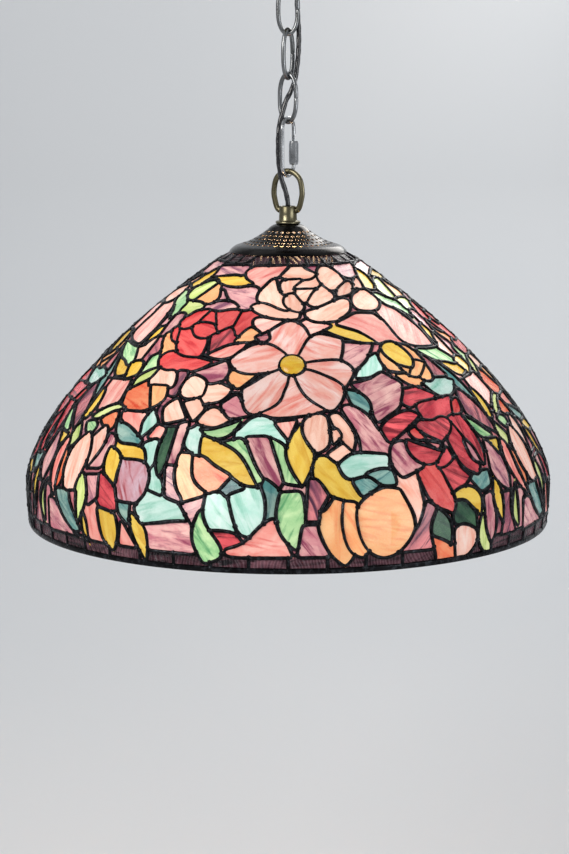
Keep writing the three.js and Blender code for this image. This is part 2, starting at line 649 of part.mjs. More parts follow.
const leadInside = new THREE.LineCurve3(
  new THREE.Vector3(0, 0, CORD_CUTS[CORD_CUTS.length - 1] - END_GAP),
  new THREE.Vector3(0, 0, nippleEnd + 2));
add('cluster_lead', wireAlong(leadInside, CORD_DIAMETER, 3), FINISHES.flex);

// Distances along an arm, from the lamp's axis.
const HUSK_START = CLUSTER_RADIUS / Math.cos(radians(ARM_TILT)) - 3;
const FLARE_START = 36;
const SOCKET_START = FLARE_START + 14.6;
const SOCKET_LENGTH = 35.4;
const BULB_START = SOCKET_START + 5.4;
const GLASS_START = BULB_START + 26 + GAP;
const BULB_LENGTH = 82; // of the glass

// The bulb's outline as [share of the radius, share of the glass length].
const BULB_OUTLINE = [
  [0.43, 0], [0.49, 0.1], [0.7, 0.27], [0.9, 0.44], [1, 0.61], [0.93, 0.78], [0.7, 0.91], [0.37, 0.98],
];

for (let i = 0; i < LIGHTS; i += 1) {
  const number = i + 1;
  const bore = NIPPLE_BORE + 0.4;
  const rim = SOCKET_RADIUS + GAP;
  add(`socket_husk_${number}`, onArm(turned([
    [bore, HUSK_START], [HUSK_NECK, HUSK_START], [HUSK_NECK, FLARE_START], [9, FLARE_START + 2],
    [rim + 0.4, FLARE_START + 8], [rim + 1.2, FLARE_START + 14], [rim + 1.2, FLARE_START + 17],
    [rim, FLARE_START + 17], [rim, FLARE_START + 14], [rim - 0.9, FLARE_START + 9],
    [8.2, FLARE_START + 3.4], [bore, FLARE_START + 1.5],
  ], LIGHT_FACETS), i), FINISHES.bronze);
  const liner = BULB_BASE_RADIUS + 0.6;
  add(`socket_${number}`, onArm(turned([
    [0, SOCKET_START], [SOCKET_RADIUS, SOCKET_START], [SOCKET_RADIUS, SOCKET_START + SOCKET_LENGTH],
    [liner, SOCKET_START + SOCKET_LENGTH], [liner, SOCKET_START + 4.4], [0, SOCKET_START + 4.4],
  ], LIGHT_FACETS), i), FINISHES.porcelain);
  add(`bulb_base_${number}`, onArm(turned([
    [0, BULB_START], [4.5, BULB_START], [8.5, BULB_START + 2], [BULB_BASE_RADIUS, BULB_START + 5],
    [BULB_BASE_RADIUS, BULB_START + 26], [0, BULB_START + 26],
  ], LIGHT_FACETS), i), FINISHES.nickel);
  const skin = BULB_OUTLINE.map(([r, s]) => [BULB_RADIUS * r, GLASS_START + BULB_LENGTH * s]);
  const inside = skin.map(([r, s]) => [r - 1, s === GLASS_START ? s : s - 0.4]).reverse();
  const tip = GLASS_START + BULB_LENGTH;
  add(`bulb_glass_${number}`, onArm(turned([
    [0, tip - 1], ...inside, ...skin, [0, tip],
  ], LIGHT_FACETS), i), FINISHES.bulbGlass);
}

export default lamp;
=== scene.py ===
"""A leaded-glass pendant lamp on a chain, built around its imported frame.

Every length in the classes is in millimetres, and MM turns it into metres.
"""

import json
import logging
import math
import random
from contextlib import contextmanager
from dataclasses import dataclass, field
from enum import Enum
from typing import Callable, Iterator, Optional, Sequence

import bmesh
import bpy
from mathutils import Matrix, Vector
from mathutils.geometry import delaunay_2d_cdt


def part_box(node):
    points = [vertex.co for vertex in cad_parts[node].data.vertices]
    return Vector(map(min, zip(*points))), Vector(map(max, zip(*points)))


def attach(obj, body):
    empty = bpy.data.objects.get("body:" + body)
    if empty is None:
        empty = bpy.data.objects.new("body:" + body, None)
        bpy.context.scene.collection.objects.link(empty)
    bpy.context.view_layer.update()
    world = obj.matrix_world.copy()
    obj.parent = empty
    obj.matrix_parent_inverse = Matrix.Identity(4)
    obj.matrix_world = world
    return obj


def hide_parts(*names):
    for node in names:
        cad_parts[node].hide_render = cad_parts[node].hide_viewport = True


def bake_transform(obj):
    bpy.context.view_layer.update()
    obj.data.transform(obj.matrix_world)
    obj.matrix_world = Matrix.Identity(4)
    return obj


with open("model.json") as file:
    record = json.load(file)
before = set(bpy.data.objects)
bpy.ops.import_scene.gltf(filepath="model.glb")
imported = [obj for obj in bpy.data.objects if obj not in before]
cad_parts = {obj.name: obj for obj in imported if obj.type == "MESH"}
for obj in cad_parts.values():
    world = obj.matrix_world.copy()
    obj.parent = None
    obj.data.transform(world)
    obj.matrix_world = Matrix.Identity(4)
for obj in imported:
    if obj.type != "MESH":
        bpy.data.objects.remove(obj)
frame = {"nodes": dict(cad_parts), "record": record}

LOG = logging.getLogger("lamp")
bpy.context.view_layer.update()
MM = 0.001
WIRE_ROUNDNESS = 4  # how finely a wire's round section is stepped
Outline = Sequence[tuple[float, float]]
Colour = tuple[float, float, float]


# ---- ways of working -------------------------------------------------------------------------

def pick_only(obj: bpy.types.Object) -> None:
    """Leave one object selected and active."""
    bpy.ops.object.select_all(action="DESELECT")
    obj.select_set(True)
    bpy.context.view_layer.objects.active = obj


@contextmanager
def editing(obj: bpy.types.Object) -> Iterator[None]:
    """Open a mesh for editing with all of it selected, and close it again.

    Args:
        obj: the mesh object to open.
    """
    pick_only(obj)
    bpy.ops.object.mode_set(mode="EDIT")
    bpy.ops.mesh.select_mode(type="VERT")
    bpy.ops.mesh.select_all(action="SELECT")
    yield
    bpy.ops.object.mode_set(mode="OBJECT")


def pick(obj: bpy.types.Object, test: Callable[[Vector], bool]) -> None:
    """Select the points of an open mesh by their place.

    Args:
        obj: the mesh object being edited.
        test: says whether a point at this place, in metres, is wanted.
    """
    mesh = bmesh.from_edit_mesh(obj.data)
    for part in (mesh.verts, mesh.edges, mesh.faces):
        for item in part:
            item.select = False
    for v in mesh.verts:
        v.select = test(v.co)
    mesh.select_flush_mode()
    bmesh.update_edit_mesh(obj.data)


def new_piece(name: str) -> bpy.types.Object:
    """Name the primitive just added and clear its place into its mesh.

    Args:
        name: the piece's name.

    Returns:
        The object.
    """
    obj = bpy.context.active_object
    obj.name = obj.data.name = name
    pick_only(obj)
    bpy.ops.object.transform_apply(location=True, rotation=True, scale=True)
    return obj


def place(obj: bpy.types.Object, matrix: Matrix) -> None:
    """Put an object where a matrix says, with its place kept in its mesh."""
    obj.matrix_world = matrix
    pick_only(obj)
    bpy.ops.object.transform_apply(location=True, rotation=True, scale=True)


def soften(obj: bpy.types.Object, width: float = 0.0, angle: float = 35.0, segments: int = 2) -> None:
    """Round an object's hard edges a little and smooth the rest.

    Args:
        obj: the mesh object.
        width: how wide the rounding is, in millimetres; none when it is 0.
        angle: edges sharper than this many degrees are rounded.
        segments: faces across the rounding.
    """
    pick_only(obj)
    if width > 0:
        rounding = obj.modifiers.new("rounding", "BEVEL")
        rounding.width = width * MM
        rounding.segments = segments
        rounding.limit_method = "ANGLE"
        rounding.angle_limit = math.radians(angle)
        rounding.harden_normals = False
        bpy.ops.object.modifier_apply(modifier=rounding.name)
    bpy.ops.object.shade_smooth_by_angle(angle=math.radians(angle))


def turned(name: str, outline: Outline, sides: int = 48) -> bpy.types.Object:
    """Make a turned piece about the Z axis: a ring is extruded from point to point of an outline.

    Args:
        name: the piece's name.
        outline: (radius, height) points; it closes at radius 0 or back at its first point.
        sides: faces around.

    Returns:
        The object, with its faces pointing outwards.
    """
    points = list(outline)
    capped_start = points[0][0] == 0
    start = points[1] if capped_start else points[0]
    bpy.ops.object.select_all(action="DESELECT")
    bpy.ops.mesh.primitive_circle_add(vertices=sides, radius=start[0] * MM, location=(0, 0, start[1] * MM))
    obj = new_piece(name)
    with editing(obj):
        if capped_start:
            drop = (points[0][1] - start[1]) * MM
            bpy.ops.mesh.extrude_region_move(TRANSFORM_OT_translate={"value": (0, 0, drop)})
            bpy.ops.mesh.merge(type="CENTER")
            pick(obj, lambda co: co.xy.length > start[0] * MM * 0.5)
            points = points[1:]
        radius, height = start
        closed = not capped_start and points[-1][0] > 0
        for r, z in points[1:] + ([points[0]] if closed else []):
            bpy.ops.mesh.extrude_region_move(TRANSFORM_OT_translate={"value": (0, 0, (z - height) * MM)})
            if r == 0:
                bpy.ops.mesh.merge(type="CENTER")
                break
            if r != radius:
                share = r / radius
                bpy.ops.transform.resize(value=(share, share, 1), center_override=(0, 0, z * MM))
            radius, height = r, z
        bpy.ops.mesh.select_all(action="SELECT")
        bpy.ops.mesh.remove_doubles(threshold=2e-6)
        bpy.ops.mesh.normals_make_consistent(inside=False)
    return obj


def through(points: Outline, steps: int) -> list[tuple[float, float]]:
    """Draw a smooth curve through points, by Catmull and Rom's rule.

    Args:
        points: the points it goes through.
        steps: points made for each span.

    Returns:
        The curve's points.
    """
    last = len(points) - 1
    curve = []
    for i in range(last):
        a, b, c, d = (points[min(max(i + k, 0), last)] for k in (-1, 0, 1, 2))
        for step in range(steps):
            t = step / steps
            weights = (-t ** 3 + 2 * t ** 2 - t, 3 * t ** 3 - 5 * t ** 2 + 2,
                       -3 * t ** 3 + 4 * t ** 2 + t, t ** 3 - t ** 2)
            curve.append(tuple(sum(w * p[k] for w, p in zip(weights, (a, b, c, d))) / 2 for k in (0, 1)))
    return curve + [tuple(points[-1])]


def hexagon_nut(name: str, across: float, bore: float, bottom: float, top: float) -> bpy.types.Object:
    """Make a hexagonal nut about Z with chamfered corners and a plain bore.

    Args:
        name: the piece's name.
        across: width across its flats.
        bore: radius of its hole.
        bottom: height of its lower face.
        top: height of its upper face.

    Returns:
        The object.
    """
    corner = across / math.sqrt(3)
    height = top - bottom
    obj = turned(name, [(corner, bottom + height * 0.14), (corner, top - height * 0.14),
                        (across * 0.48, top), (bore + 0.4, top), (bore, top - 0.4),
                        (bore, bottom + 0.4), (bore + 0.4, bottom), (across * 0.48, bottom)], 6 * 8)
    flat = across / 2
    with editing(obj):
        mesh = bmesh.from_edit_mesh(obj.data)
        for v in mesh.verts:
            reach = v.co.xy.length / MM
            if reach > bore + 0.6:
                turn = math.atan2(v.co.y, v.co.x) % (math.pi / 3) - math.pi / 6
                limit = flat / math.cos(turn)
                if reach > limit:
                    v.co.xy *= limit / reach
        bmesh.update_edit_mesh(obj.data)
    soften(obj, 0.12, 28)
    return obj


def wire(name: str, path: Sequence[Vector], thickness: float) -> bpy.types.Object:
    """Make round wire along a path.

    Args:
        name: the piece's name.
        path: points in metres.
        thickness: the wire's diameter.

    Returns:
        The mesh object.
    """
    curve = bpy.data.curves.new(name, "CURVE")
    curve.dimensions = "3D"
    curve.bevel_depth = thickness / 2 * MM
    curve.bevel_resolution = WIRE_ROUNDNESS
    curve.use_fill_caps = True
    spline = curve.splines.new("POLY")
    spline.points.add(len(path) - 1)
    for point, co in zip(spline.points, path):
        point.co = (*co, 1)
    obj = bpy.data.objects.new(name, curve)
    bpy.context.scene.collection.objects.link(obj)
    pick_only(obj)
    bpy.ops.object.convert(target="MESH")
    obj = bpy.context.active_object
    with editing(obj):
        bpy.ops.mesh.remove_doubles(threshold=1e-6)
        bpy.ops.mesh.normals_make_consistent(inside=False)
    bpy.ops.object.shade_smooth_by_angle(angle=math.radians(40))
    return obj


def dress(obj: bpy.types.Object, material: Optional[bpy.types.Material], slot: str, body: str,
          *nodes: str) -> bpy.types.Object:
    """Give a piece its finish, its body and the solids it stands for.

    Args:
        obj: the piece.
        material: its finish, or nothing when it already has its own.
        slot: the record's material slot; not used.
        body: the body it moves with.
        nodes: the solids it replaces.

    Returns:
        The piece.
    """
    if material is not None:
        obj.data.materials.clear()
        obj.data.materials.append(material)
    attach(obj, body)
    if nodes:
        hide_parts(*nodes)
    LOG.info("%s: %d faces on %s", obj.name, len(obj.data.polygons), body)
    return obj


def node_span(node: str) -> tuple[Vector, Vector]:
    """Give a solid's lowest and highest corners in millimetres."""
    low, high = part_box(node)
    return low / MM, high / MM


# ---- the glass pattern -----------------------------------------------------------------------

class Glass(Enum):
    """The kinds of glass in the shade."""

    CREAM = "cream"
    PEACH = "peach"
    BLUSH = "blush"
    DAISY = "daisy"
    SALMON = "salmon"
    CORAL = "coral"
    RUBY = "ruby"
    ORANGE = "orange"
    GOLD = "gold"
    BUD = "bud"
    LIME = "lime"
    GREEN = "green"
    FOREST = "forest"
    TEAL = "teal"
    MINT = "mint"
    ROSE = "rose"
    MAUVE = "mauve"
    PLUM = "plum"
    STRIPED = "striped"
    BORDER = "border"
    JEWEL = "jewel"


@dataclass(frozen=True)
class Pane:
    """One pane's outline inside its lead: turn about the lamp in degrees, millimetres down the slope."""

    glass: Glass
    points: tuple[tuple[float, float], ...]
    grow: float = 1.9


def pane(glass: Glass, *points: tuple[float, float]) -> Pane:
    """Write one pane down."""
    return Pane(glass, points)


def golden_spray() -> list[Pane]:
    """Draw the leaves and petals under the top band, left of the peony."""
    g = Glass
    return [
        pane(g.MAUVE, (-66, 24), (-55, 20), (-45, 18), (-31.5, 18), (-30, 25), (-34, 31), (-50, 34),
             (-60, 36)),
        pane(g.SALMON, (-30, 27), (-26, 19), (-1, 17), (-5, 29), (-10, 33), (-16, 43), (-26, 35)),
        pane(g.MAUVE, (-38, 49), (-30, 47), (-19, 47), (-17, 50), (-15.5, 68), (-19, 76), (-22, 76),
             (-29, 66)),
        pane(g.MAUVE, (-40, 75), (-36, 69), (-28, 69), (-24, 75), (-35, 79)),
        pane(g.GOLD, (-53, 37), (-45, 35), (-35, 33), (-22.5, 42), (-30, 45.5), (-42, 44)),
        pane(g.LIME, (-66, 56), (-61, 48), (-55, 43), (-47.5, 43), (-50.5, 55), (-54, 66), (-58, 69),
             (-64, 66)),
        pane(g.BUD, (-52.5, 69), (-50, 60), (-46, 48), (-43, 47), (-38, 64), (-41, 71)),
        pane(g.LIME, (-59.5, 73), (-46, 73), (-43.5, 77), (-48, 86), (-52, 88), (-56, 87)),
        pane(g.ROSE, (-57, 91), (-52, 89), (-50, 95), (-53, 117), (-56.5, 117)),
        pane(g.GOLD, (-61.5, 119), (-60, 108), (-58, 108), (-57, 116), (-59, 128), (-61, 129)),
    ]


def coral_rose() -> list[Pane]:
    """Draw the coral rose."""
    g = Glass.CORAL
    return [
        pane(Glass.BUD, (-52, 116), (-50, 113), (-45, 121), (-42, 132), (-44.5, 142), (-48, 132)),
        pane(g, (-50, 109), (-48, 104), (-45, 109), (-42.5, 122), (-46, 119)),
        pane(g, (-45, 150), (-44, 139), (-41, 135), (-33, 138), (-25, 143), (-30, 153), (-39, 154)),
        pane(g, (-45, 106), (-41, 105), (-36, 113), (-31, 116), (-30, 125), (-30, 136), (-36, 136),
             (-40, 131)),
        pane(g, (-49, 98), (-44, 84), (-38, 81), (-39, 93), (-41, 102), (-46, 105)),
        pane(g, (-38, 95), (-37, 87), (-34.5, 82), (-31, 97)),
        pane(g, (-40, 102), (-38, 98), (-31, 99), (-29, 106), (-31, 113), (-36, 112)),
        pane(g, (-31, 83), (-27, 79), (-24, 80), (-21, 88), (-22, 95), (-27, 105), (-29, 99)),
        pane(g, (-20.5, 82), (-17, 80), (-15, 86), (-15, 95), (-19, 109), (-21, 104)),
        pane(Glass.RUBY, (-29, 112), (-23, 101), (-21, 108), (-21.5, 117), (-27, 130)),
        pane(Glass.BUD, (-19, 117), (-15, 101), (-12, 101), (-11, 108), (-13, 115)),
        pane(Glass.SALMON, (-27, 135), (-21, 123), (-15, 119), (-17, 130), (-22, 137)),
    ]


def cream_peony() -> list[Pane]:
    """Draw the cream peony at the top."""
    g = Glass.CREAM
    return [
        pane(g, (-15, 53), (-12, 43), (-9.5, 36), (-8, 36), (-6, 50), (0, 74), (-3, 77), (-9, 69),
             (-14.5, 64)),
        pane(g, (-17, 73), (-14, 69), (-9, 71), (-3, 78), (4.5, 81), (4, 87), (-5, 86), (-13, 80)),
        pane(g, (-4, 31), (0, 22), (3, 18), (10, 19), (18, 28), (15, 33), (0, 34)),
        pane(g, (-4, 42), (-3, 38), (8, 36), (5, 43), (2, 53), (-2, 55)),
        pane(g, (4, 47), (10, 39), (17, 38), (15, 46)),
        pane(g, (5, 50), (15, 50), (9, 65), (6, 66)),
        pane(g, (0, 57), (3, 56), (4.5, 62), (7, 72), (5, 78), (1, 74), (-1.5, 65)),
        pane(g, (10, 68), (14, 55), (20.5, 45), (24.5, 58), (20, 68), (12, 72)),
        pane(g, (8, 80), (14, 75), (28, 64), (31, 67), (28, 79), (20, 89), (14, 91), (9, 87)),
        pane(g, (20.5, 34), (23, 23), (27, 18), (33, 20), (37, 32), (28, 49), (25, 49), (22, 43)),
        pane(g, (27, 60), (29, 52), (39, 41), (41, 43), (36, 55)),
        pane(g, (41.5, 49), (46, 40), (51, 37), (50, 43), (47, 52)),
        pane(g, (33, 72), (35, 63), (40, 57), (48, 55), (50, 63), (50, 71), (42, 80), (34, 78)),
    ]


def daisy() -> list[Pane]:
    """Draw the daisy's petals and its jewel's seat."""
    g = Glass.DAISY
    half = 11.2
    ring = [(1.3 + math.degrees(half * math.sin(a) / 166), 143.6 - half * math.cos(a))
            for a in (math.tau * k / 24 for k in range(24))]
    return [
        pane(g, (-6, 104), (-3, 96), (1, 91), (5, 96), (7, 106), (6.5, 115), (3.5, 133), (0, 133),
             (-4.5, 115)),
        pane(g, (4, 133), (8, 113), (12, 108), (19.5, 115), (17, 134), (15, 138), (6, 140)),
        pane(g, (5, 143), (8, 141), (16, 140), (19, 146), (19.5, 153), (16, 168), (13, 162), (9, 153)),
        pane(g, (3, 152), (5, 150), (9, 154), (15, 168), (14.5, 180), (11.5, 193), (9, 191), (4, 180),
             (3, 170)),
        pane(g, (1.3, 154), (2.8, 170), (5, 182), (9, 193), (4, 197), (-4, 199), (-5, 195), (-1.5, 180)),
        pane(g, (-12.5, 172), (-3, 149), (0, 152), (-1.5, 170), (-3, 184), (-8.5, 197), (-10.5, 193)),
        pane(g, (-18.5, 140), (-16, 130), (-11, 120), (-6, 121), (-1, 132), (-2.5, 145), (-9, 152),
             (-15, 150)),
        Pane(Glass.JEWEL, tuple(ring), 0.5),
    ]


def top_right() -> list[Pane]:
    """Draw the pale panes, leaves and glass right of the peony."""
    g = Glass
    return [
        pane(g.MAUVE, (36, 22), (40, 18), (58, 17), (62, 20), (54, 32), (49, 36), (40, 33)),
        pane(g.BLUSH, (20, 95), (28, 87), (31, 84), (40, 86), (42, 100), (42.5, 119), (33.5, 121),
             (30, 108), (24, 99)),
        pane(g.BLUSH, (43, 84), (50, 77), (57, 82), (60, 94), (62, 110), (61, 131), (50, 128),
             (45, 121), (44, 100)),
        pane(g.GOLD, (51.5, 52), (55, 40), (58, 30), (62, 26), (65, 36), (57, 55)),
        pane(g.GREEN, (51, 62), (55, 61), (60, 67), (68, 75), (67, 97), (62, 84), (54, 74)),
        pane(g.GOLD, (15, 103), (20, 101), (27, 107), (32, 120), (28, 119), (20, 110)),
        pane(g.BLUSH, (-14, 90), (-12, 87), (-2, 90), (-9, 104), (-13, 97)),
        pane(g.PLUM, (-11.5, 111), (-8, 106), (-7, 112), (-9, 116)),
        pane(g.BLUSH, (5.5, 93), (8, 89), (12, 92), (17, 97), (12, 103), (8.5, 107)),
        pane(g.ROSE, (18, 138), (20.5, 119), (30, 123), (28, 130), (23, 145), (20.5, 149)),
    ]


def middle_band() -> list[Pane]:
    """Draw the buds, leaves and glass level with the daisy and below it."""
    g = Glass
    return [
        pane(g.CREAM, (-61.5, 139), (-57, 122), (-55.5, 122), (-55.3, 150), (-58, 150)),
        pane(g.PLUM, (-54, 122), (-48.5, 133), (-51, 143), (-51, 151), (-54, 151)),
        pane(g.GREEN, (48.5, 134), (54, 136), (63, 140), (69, 157), (62, 154), (54, 146)),
        pane(g.GOLD, (57, 153), (62, 156), (69, 167), (64, 170), (60, 163)),
        pane(g.GOLD, (-59, 155), (-55, 151), (-52, 153), (-51, 164), (-56, 171)),
        pane(g.BLUSH, (-62.5, 176), (-52, 173), (-51, 196), (-59, 209), (-61, 195)),
        pane(g.GREEN, (-50, 144), (-47.5, 140), (-44, 154), (-49.5, 166)),
        pane(g.LIME, (-49, 179), (-49.5, 170), (-47, 162), (-43, 155), (-44, 166), (-47, 176)),
        pane(g.CREAM, (-42, 173), (-42, 160), (-36.5, 156), (-34.5, 170)),
        pane(g.ORANGE, (-50, 184), (-44, 171), (-38.5, 198), (-42, 204), (-46, 201), (-49, 193)),
        pane(g.BUD, (-41, 175), (-36, 174), (-35, 187), (-37.5, 196)),
        pane(g.PLUM, (-34.5, 156), (-31.5, 156), (-31, 170), (-32, 183), (-34, 181), (-33, 168)),
        pane(g.ROSE, (-29, 156), (-20, 141), (-18.5, 150), (-19, 160), (-22.5, 165)),
        pane(g.BUD, (-17, 151), (-9.5, 154), (-14, 170), (-17.3, 161)),
        pane(g.CREAM, (-30, 163), (-28.5, 159), (-24.5, 165), (-24, 180), (-28.5, 183), (-30.5, 177)),
        pane(g.CREAM, (-22.5, 173), (-20, 166), (-16, 172), (-18, 183), (-22, 187)),
        pane(g.CREAM, (-33, 196), (-30.5, 186), (-26.5, 205), (-31.5, 211)),
        pane(g.CREAM, (-28, 189), (-24.5, 184), (-22, 194), (-24, 206)),
        pane(g.CREAM, (-22.5, 208), (-21, 196), (-19, 192), (-14.5, 203), (-18, 211)),
        pane(g.ROSE, (-17.5, 189), (-14, 178), (-10, 198), (-14.5, 202)),
        pane(g.TEAL, (53, 150), (55, 155), (59, 172), (61, 198), (57, 186), (54, 165)),
        pane(g.MINT, (20.5, 159), (22, 152), (28, 138), (30, 134), (30, 150), (27, 157)),
        pane(g.ROSE, (18.5, 167), (24, 163), (29, 156), (33.5, 170), (30, 192), (26, 200),
             (22.5, 207), (21, 180)),
        pane(g.TEAL, (16.5, 174), (19, 176), (21.5, 188), (20.5, 201), (17.5, 190)),
        pane(g.ROSE, (14, 192), (16, 190), (20.5, 204), (22.5, 237), (17, 236), (17, 220)),
        pane(g.MINT, (42, 173), (47, 169), (56, 174), (52, 185), (45, 186)),
        pane(g.PLUM, (49, 142), (51, 146), (54.5, 167), (48, 165)),
    ]


def golden_bud() -> list[Pane]:
    """Draw the round golden bud at the right."""
    g = Glass.BUD
    return [
        pane(g, (31, 140), (32.5, 131), (35, 146), (36, 156), (32, 153)),
        pane(g, (41.5, 126), (44, 128), (47, 140), (47.5, 147), (44, 143)),
        pane(g, (33.5, 160), (38, 161), (42, 168), (39.5, 173), (36.5, 170)),
        pane(g, (42, 166), (47.5, 153), (47, 165), (44.5, 169)),
        pane(g, (38.5, 160), (43.5, 147), (46, 149), (43, 158), (40.5, 163)),
        pane(g, (36.5, 150), (39.8, 153), (38, 159)),
        pane(Glass.GOLD, (33.5, 128), (36, 123), (40, 124), (42.8, 142), (41, 152), (37, 147), (34, 136)),
    ]


def ruby_rose() -> list[Pane]:
    """Draw the dark red rose."""
    g = Glass
    return [
        pane(g.RUBY, (31.5, 190), (34, 179), (38, 176), (43, 187), (41, 189), (36, 191), (33, 195)),
        pane(g.RUBY, (35, 200), (36, 194), (48, 190), (47, 199), (43, 206), (37, 208)),
        pane(g.CORAL, (49, 195), (51.5, 194), (50, 206), (46.5, 207)),
        pane(g.RUBY, (23, 215), (26, 206), (32, 200), (34, 205), (31, 212), (24, 228)),
        pane(g.ROSE, (24, 236), (25, 231), (27.5, 230), (28, 240), (30.5, 254), (25, 262), (23.5, 250)),
        pane(g.RUBY, (28.5, 229), (31, 234), (36.5, 243), (34, 251), (31, 251), (28.5, 240)),
        pane(g.CORAL, (30, 220), (32, 217), (33.5, 228), (31, 227)),
        pane(g.RUBY, (32.5, 216), (34, 211), (38, 213), (41, 210), (43, 214), (42, 222), (38, 232),
             (34, 222)),
        pane(g.RUBY, (43.5, 212), (45, 210), (49, 216), (50.5, 235), (50, 250), (48.5, 261), (46, 235)),
        pane(g.RUBY, (40, 232), (43, 225), (44.3, 235), (46.5, 262), (45, 268), (41.5, 258)),
        pane(g.PLUM, (33.5, 231), (37, 236), (36, 240)),
        pane(g.RUBY, (34, 256), (38.5, 240), (39, 250), (36, 256)),
        pane(g.MAUVE, (45, 236), (46.5, 242), (47.5, 258), (45.5, 254)),
        pane(g.CORAL, (29, 262), (33, 257), (34.5, 262), (36.3, 290), (35.5, 298), (31, 287)),
        pane(g.RUBY, (35.5, 262), (39, 255), (42, 270), (40, 275), (36.5, 277)),
    ]


def left_garden() -> list[Pane]:
    """Draw the tulips, leaves and glass at the lower left."""
    g = Glass
    return [
        pane(g.GOLD, (-64, 188), (-62.5, 190), (-61, 204), (-62.5, 220), (-64.5, 218)),
        pane(g.LIME, (-64.5, 232), (-63, 227), (-60, 240), (-62, 250), (-64, 246)),
        pane(g.GREEN, (-60, 224), (-57, 221), (-54.5, 225), (-55, 230), (-57.5, 232)),
        pane(g.LIME, (-59, 217), (-56, 208), (-50, 200), (-47.7, 202), (-52, 209), (-57, 217)),
        pane(g.ORANGE, (-54, 217), (-50, 208), (-48, 208), (-47, 222), (-48.5, 225), (-52, 221)),
        pane(g.SALMON, (-46, 206), (-38, 204), (-37.8, 224), (-41, 218), (-45, 213)),
        pane(g.TEAL, (-46, 217), (-42, 220), (-36, 232), (-37, 236), (-43, 232)),
        pane(g.MINT, (-36.3, 200), (-33.6, 212), (-36.3, 226), (-37.5, 213)),
        pane(g.SALMON, (-33, 215), (-30.7, 217), (-30.8, 229), (-34.3, 227)),
        pane(g.MINT, (-34.8, 235), (-32, 229), (-31, 232), (-30.5, 247), (-31.5, 257), (-33.3, 247)),
        pane(g.ROSE, (-46.5, 230), (-44, 234), (-43.5, 245), (-45, 262), (-49.5, 264), (-47, 246)),
        pane(g.SALMON, (-67.5, 262), (-65.5, 243), (-64, 247), (-63.5, 272), (-61.5, 298), (-65, 286)),
        pane(g.ORANGE, (-63, 254), (-61, 261), (-59.7, 280), (-61, 291), (-62.5, 272)),
        pane(g.PEACH, (-53.5, 237), (-50.5, 224), (-49, 226), (-47.6, 240), (-50, 263), (-52, 250)),
        pane(g.PEACH, (-60, 250), (-56, 233), (-54, 238), (-51.7, 255), (-52.3, 274), (-54, 286),
             (-57, 289), (-60, 270)),
        pane(g.GOLD, (-44, 243), (-41, 248), (-39, 262), (-40, 277), (-42.5, 268), (-44, 256)),
        pane(g.GOLD, (-42, 238), (-35, 240), (-33.4, 250), (-39, 249)),
        pane(g.RUBY, (-44, 268), (-41, 275), (-39, 281), (-37.5, 297), (-41, 299), (-44, 285)),
        pane(g.STRIPED, (-39, 253), (-33, 254), (-31, 268), (-31.5, 281), (-33, 288), (-37.5, 288),
             (-38.8, 272)),
        pane(g.LIME, (-51, 272), (-48.5, 280), (-47.5, 296), (-50, 315), (-51, 300), (-52, 283)),
        pane(g.MAUVE, (-49, 273), (-44.8, 271), (-43.7, 290), (-46, 297), (-47, 285)),
        pane(g.PLUM, (-54, 291), (-52, 290), (-50.7, 312), (-52.5, 308)),
        pane(g.TEAL, (-60.5, 294), (-57, 291), (-54, 300), (-49.5, 323), (-53, 324), (-58, 309)),
        pane(g.ROSE, (-64, 302), (-60.5, 304), (-57, 316), (-52, 328), (-49.5, 330), (-64, 330)),
        pane(g.GOLD, (-48, 307), (-47, 314), (-45.8, 333), (-47.8, 322)),
        pane(g.SALMON, (-46.5, 303), (-44, 297), (-43, 312), (-41, 329), (-45, 329)),
        pane(g.GOLD, (-42.5, 300), (-38, 303), (-37.5, 320), (-38.5, 334), (-41, 325)),
        pane(g.SALMON, (-36, 308), (-32.7, 329), (-36.7, 329)),
        pane(g.TEAL, (-37, 293), (-34.5, 292), (-34.3, 308), (-36.5, 300)),
        pane(g.GOLD, (-33.5, 300), (-31, 309), (-30, 322), (-30.2, 339), (-32, 326), (-33.5, 310)),
        pane(g.MINT, (-32.7, 294), (-30, 282), (-24, 284), (-21, 300), (-27, 303), (-31, 306)),
        pane(g.MINT, (-30, 259), (-27.5, 270), (-27, 279), (-30.3, 275)),
        pane(g.FOREST, (-30, 226), (-28, 215), (-27.8, 250), (-28.6, 262), (-30, 248)),
        pane(g.ROSE, (-27, 212), (-25, 210), (-25, 250), (-27, 250)),
        pane(g.MAUVE, (-27, 255), (-25, 256), (-22.5, 284), (-26, 280)),
    ]


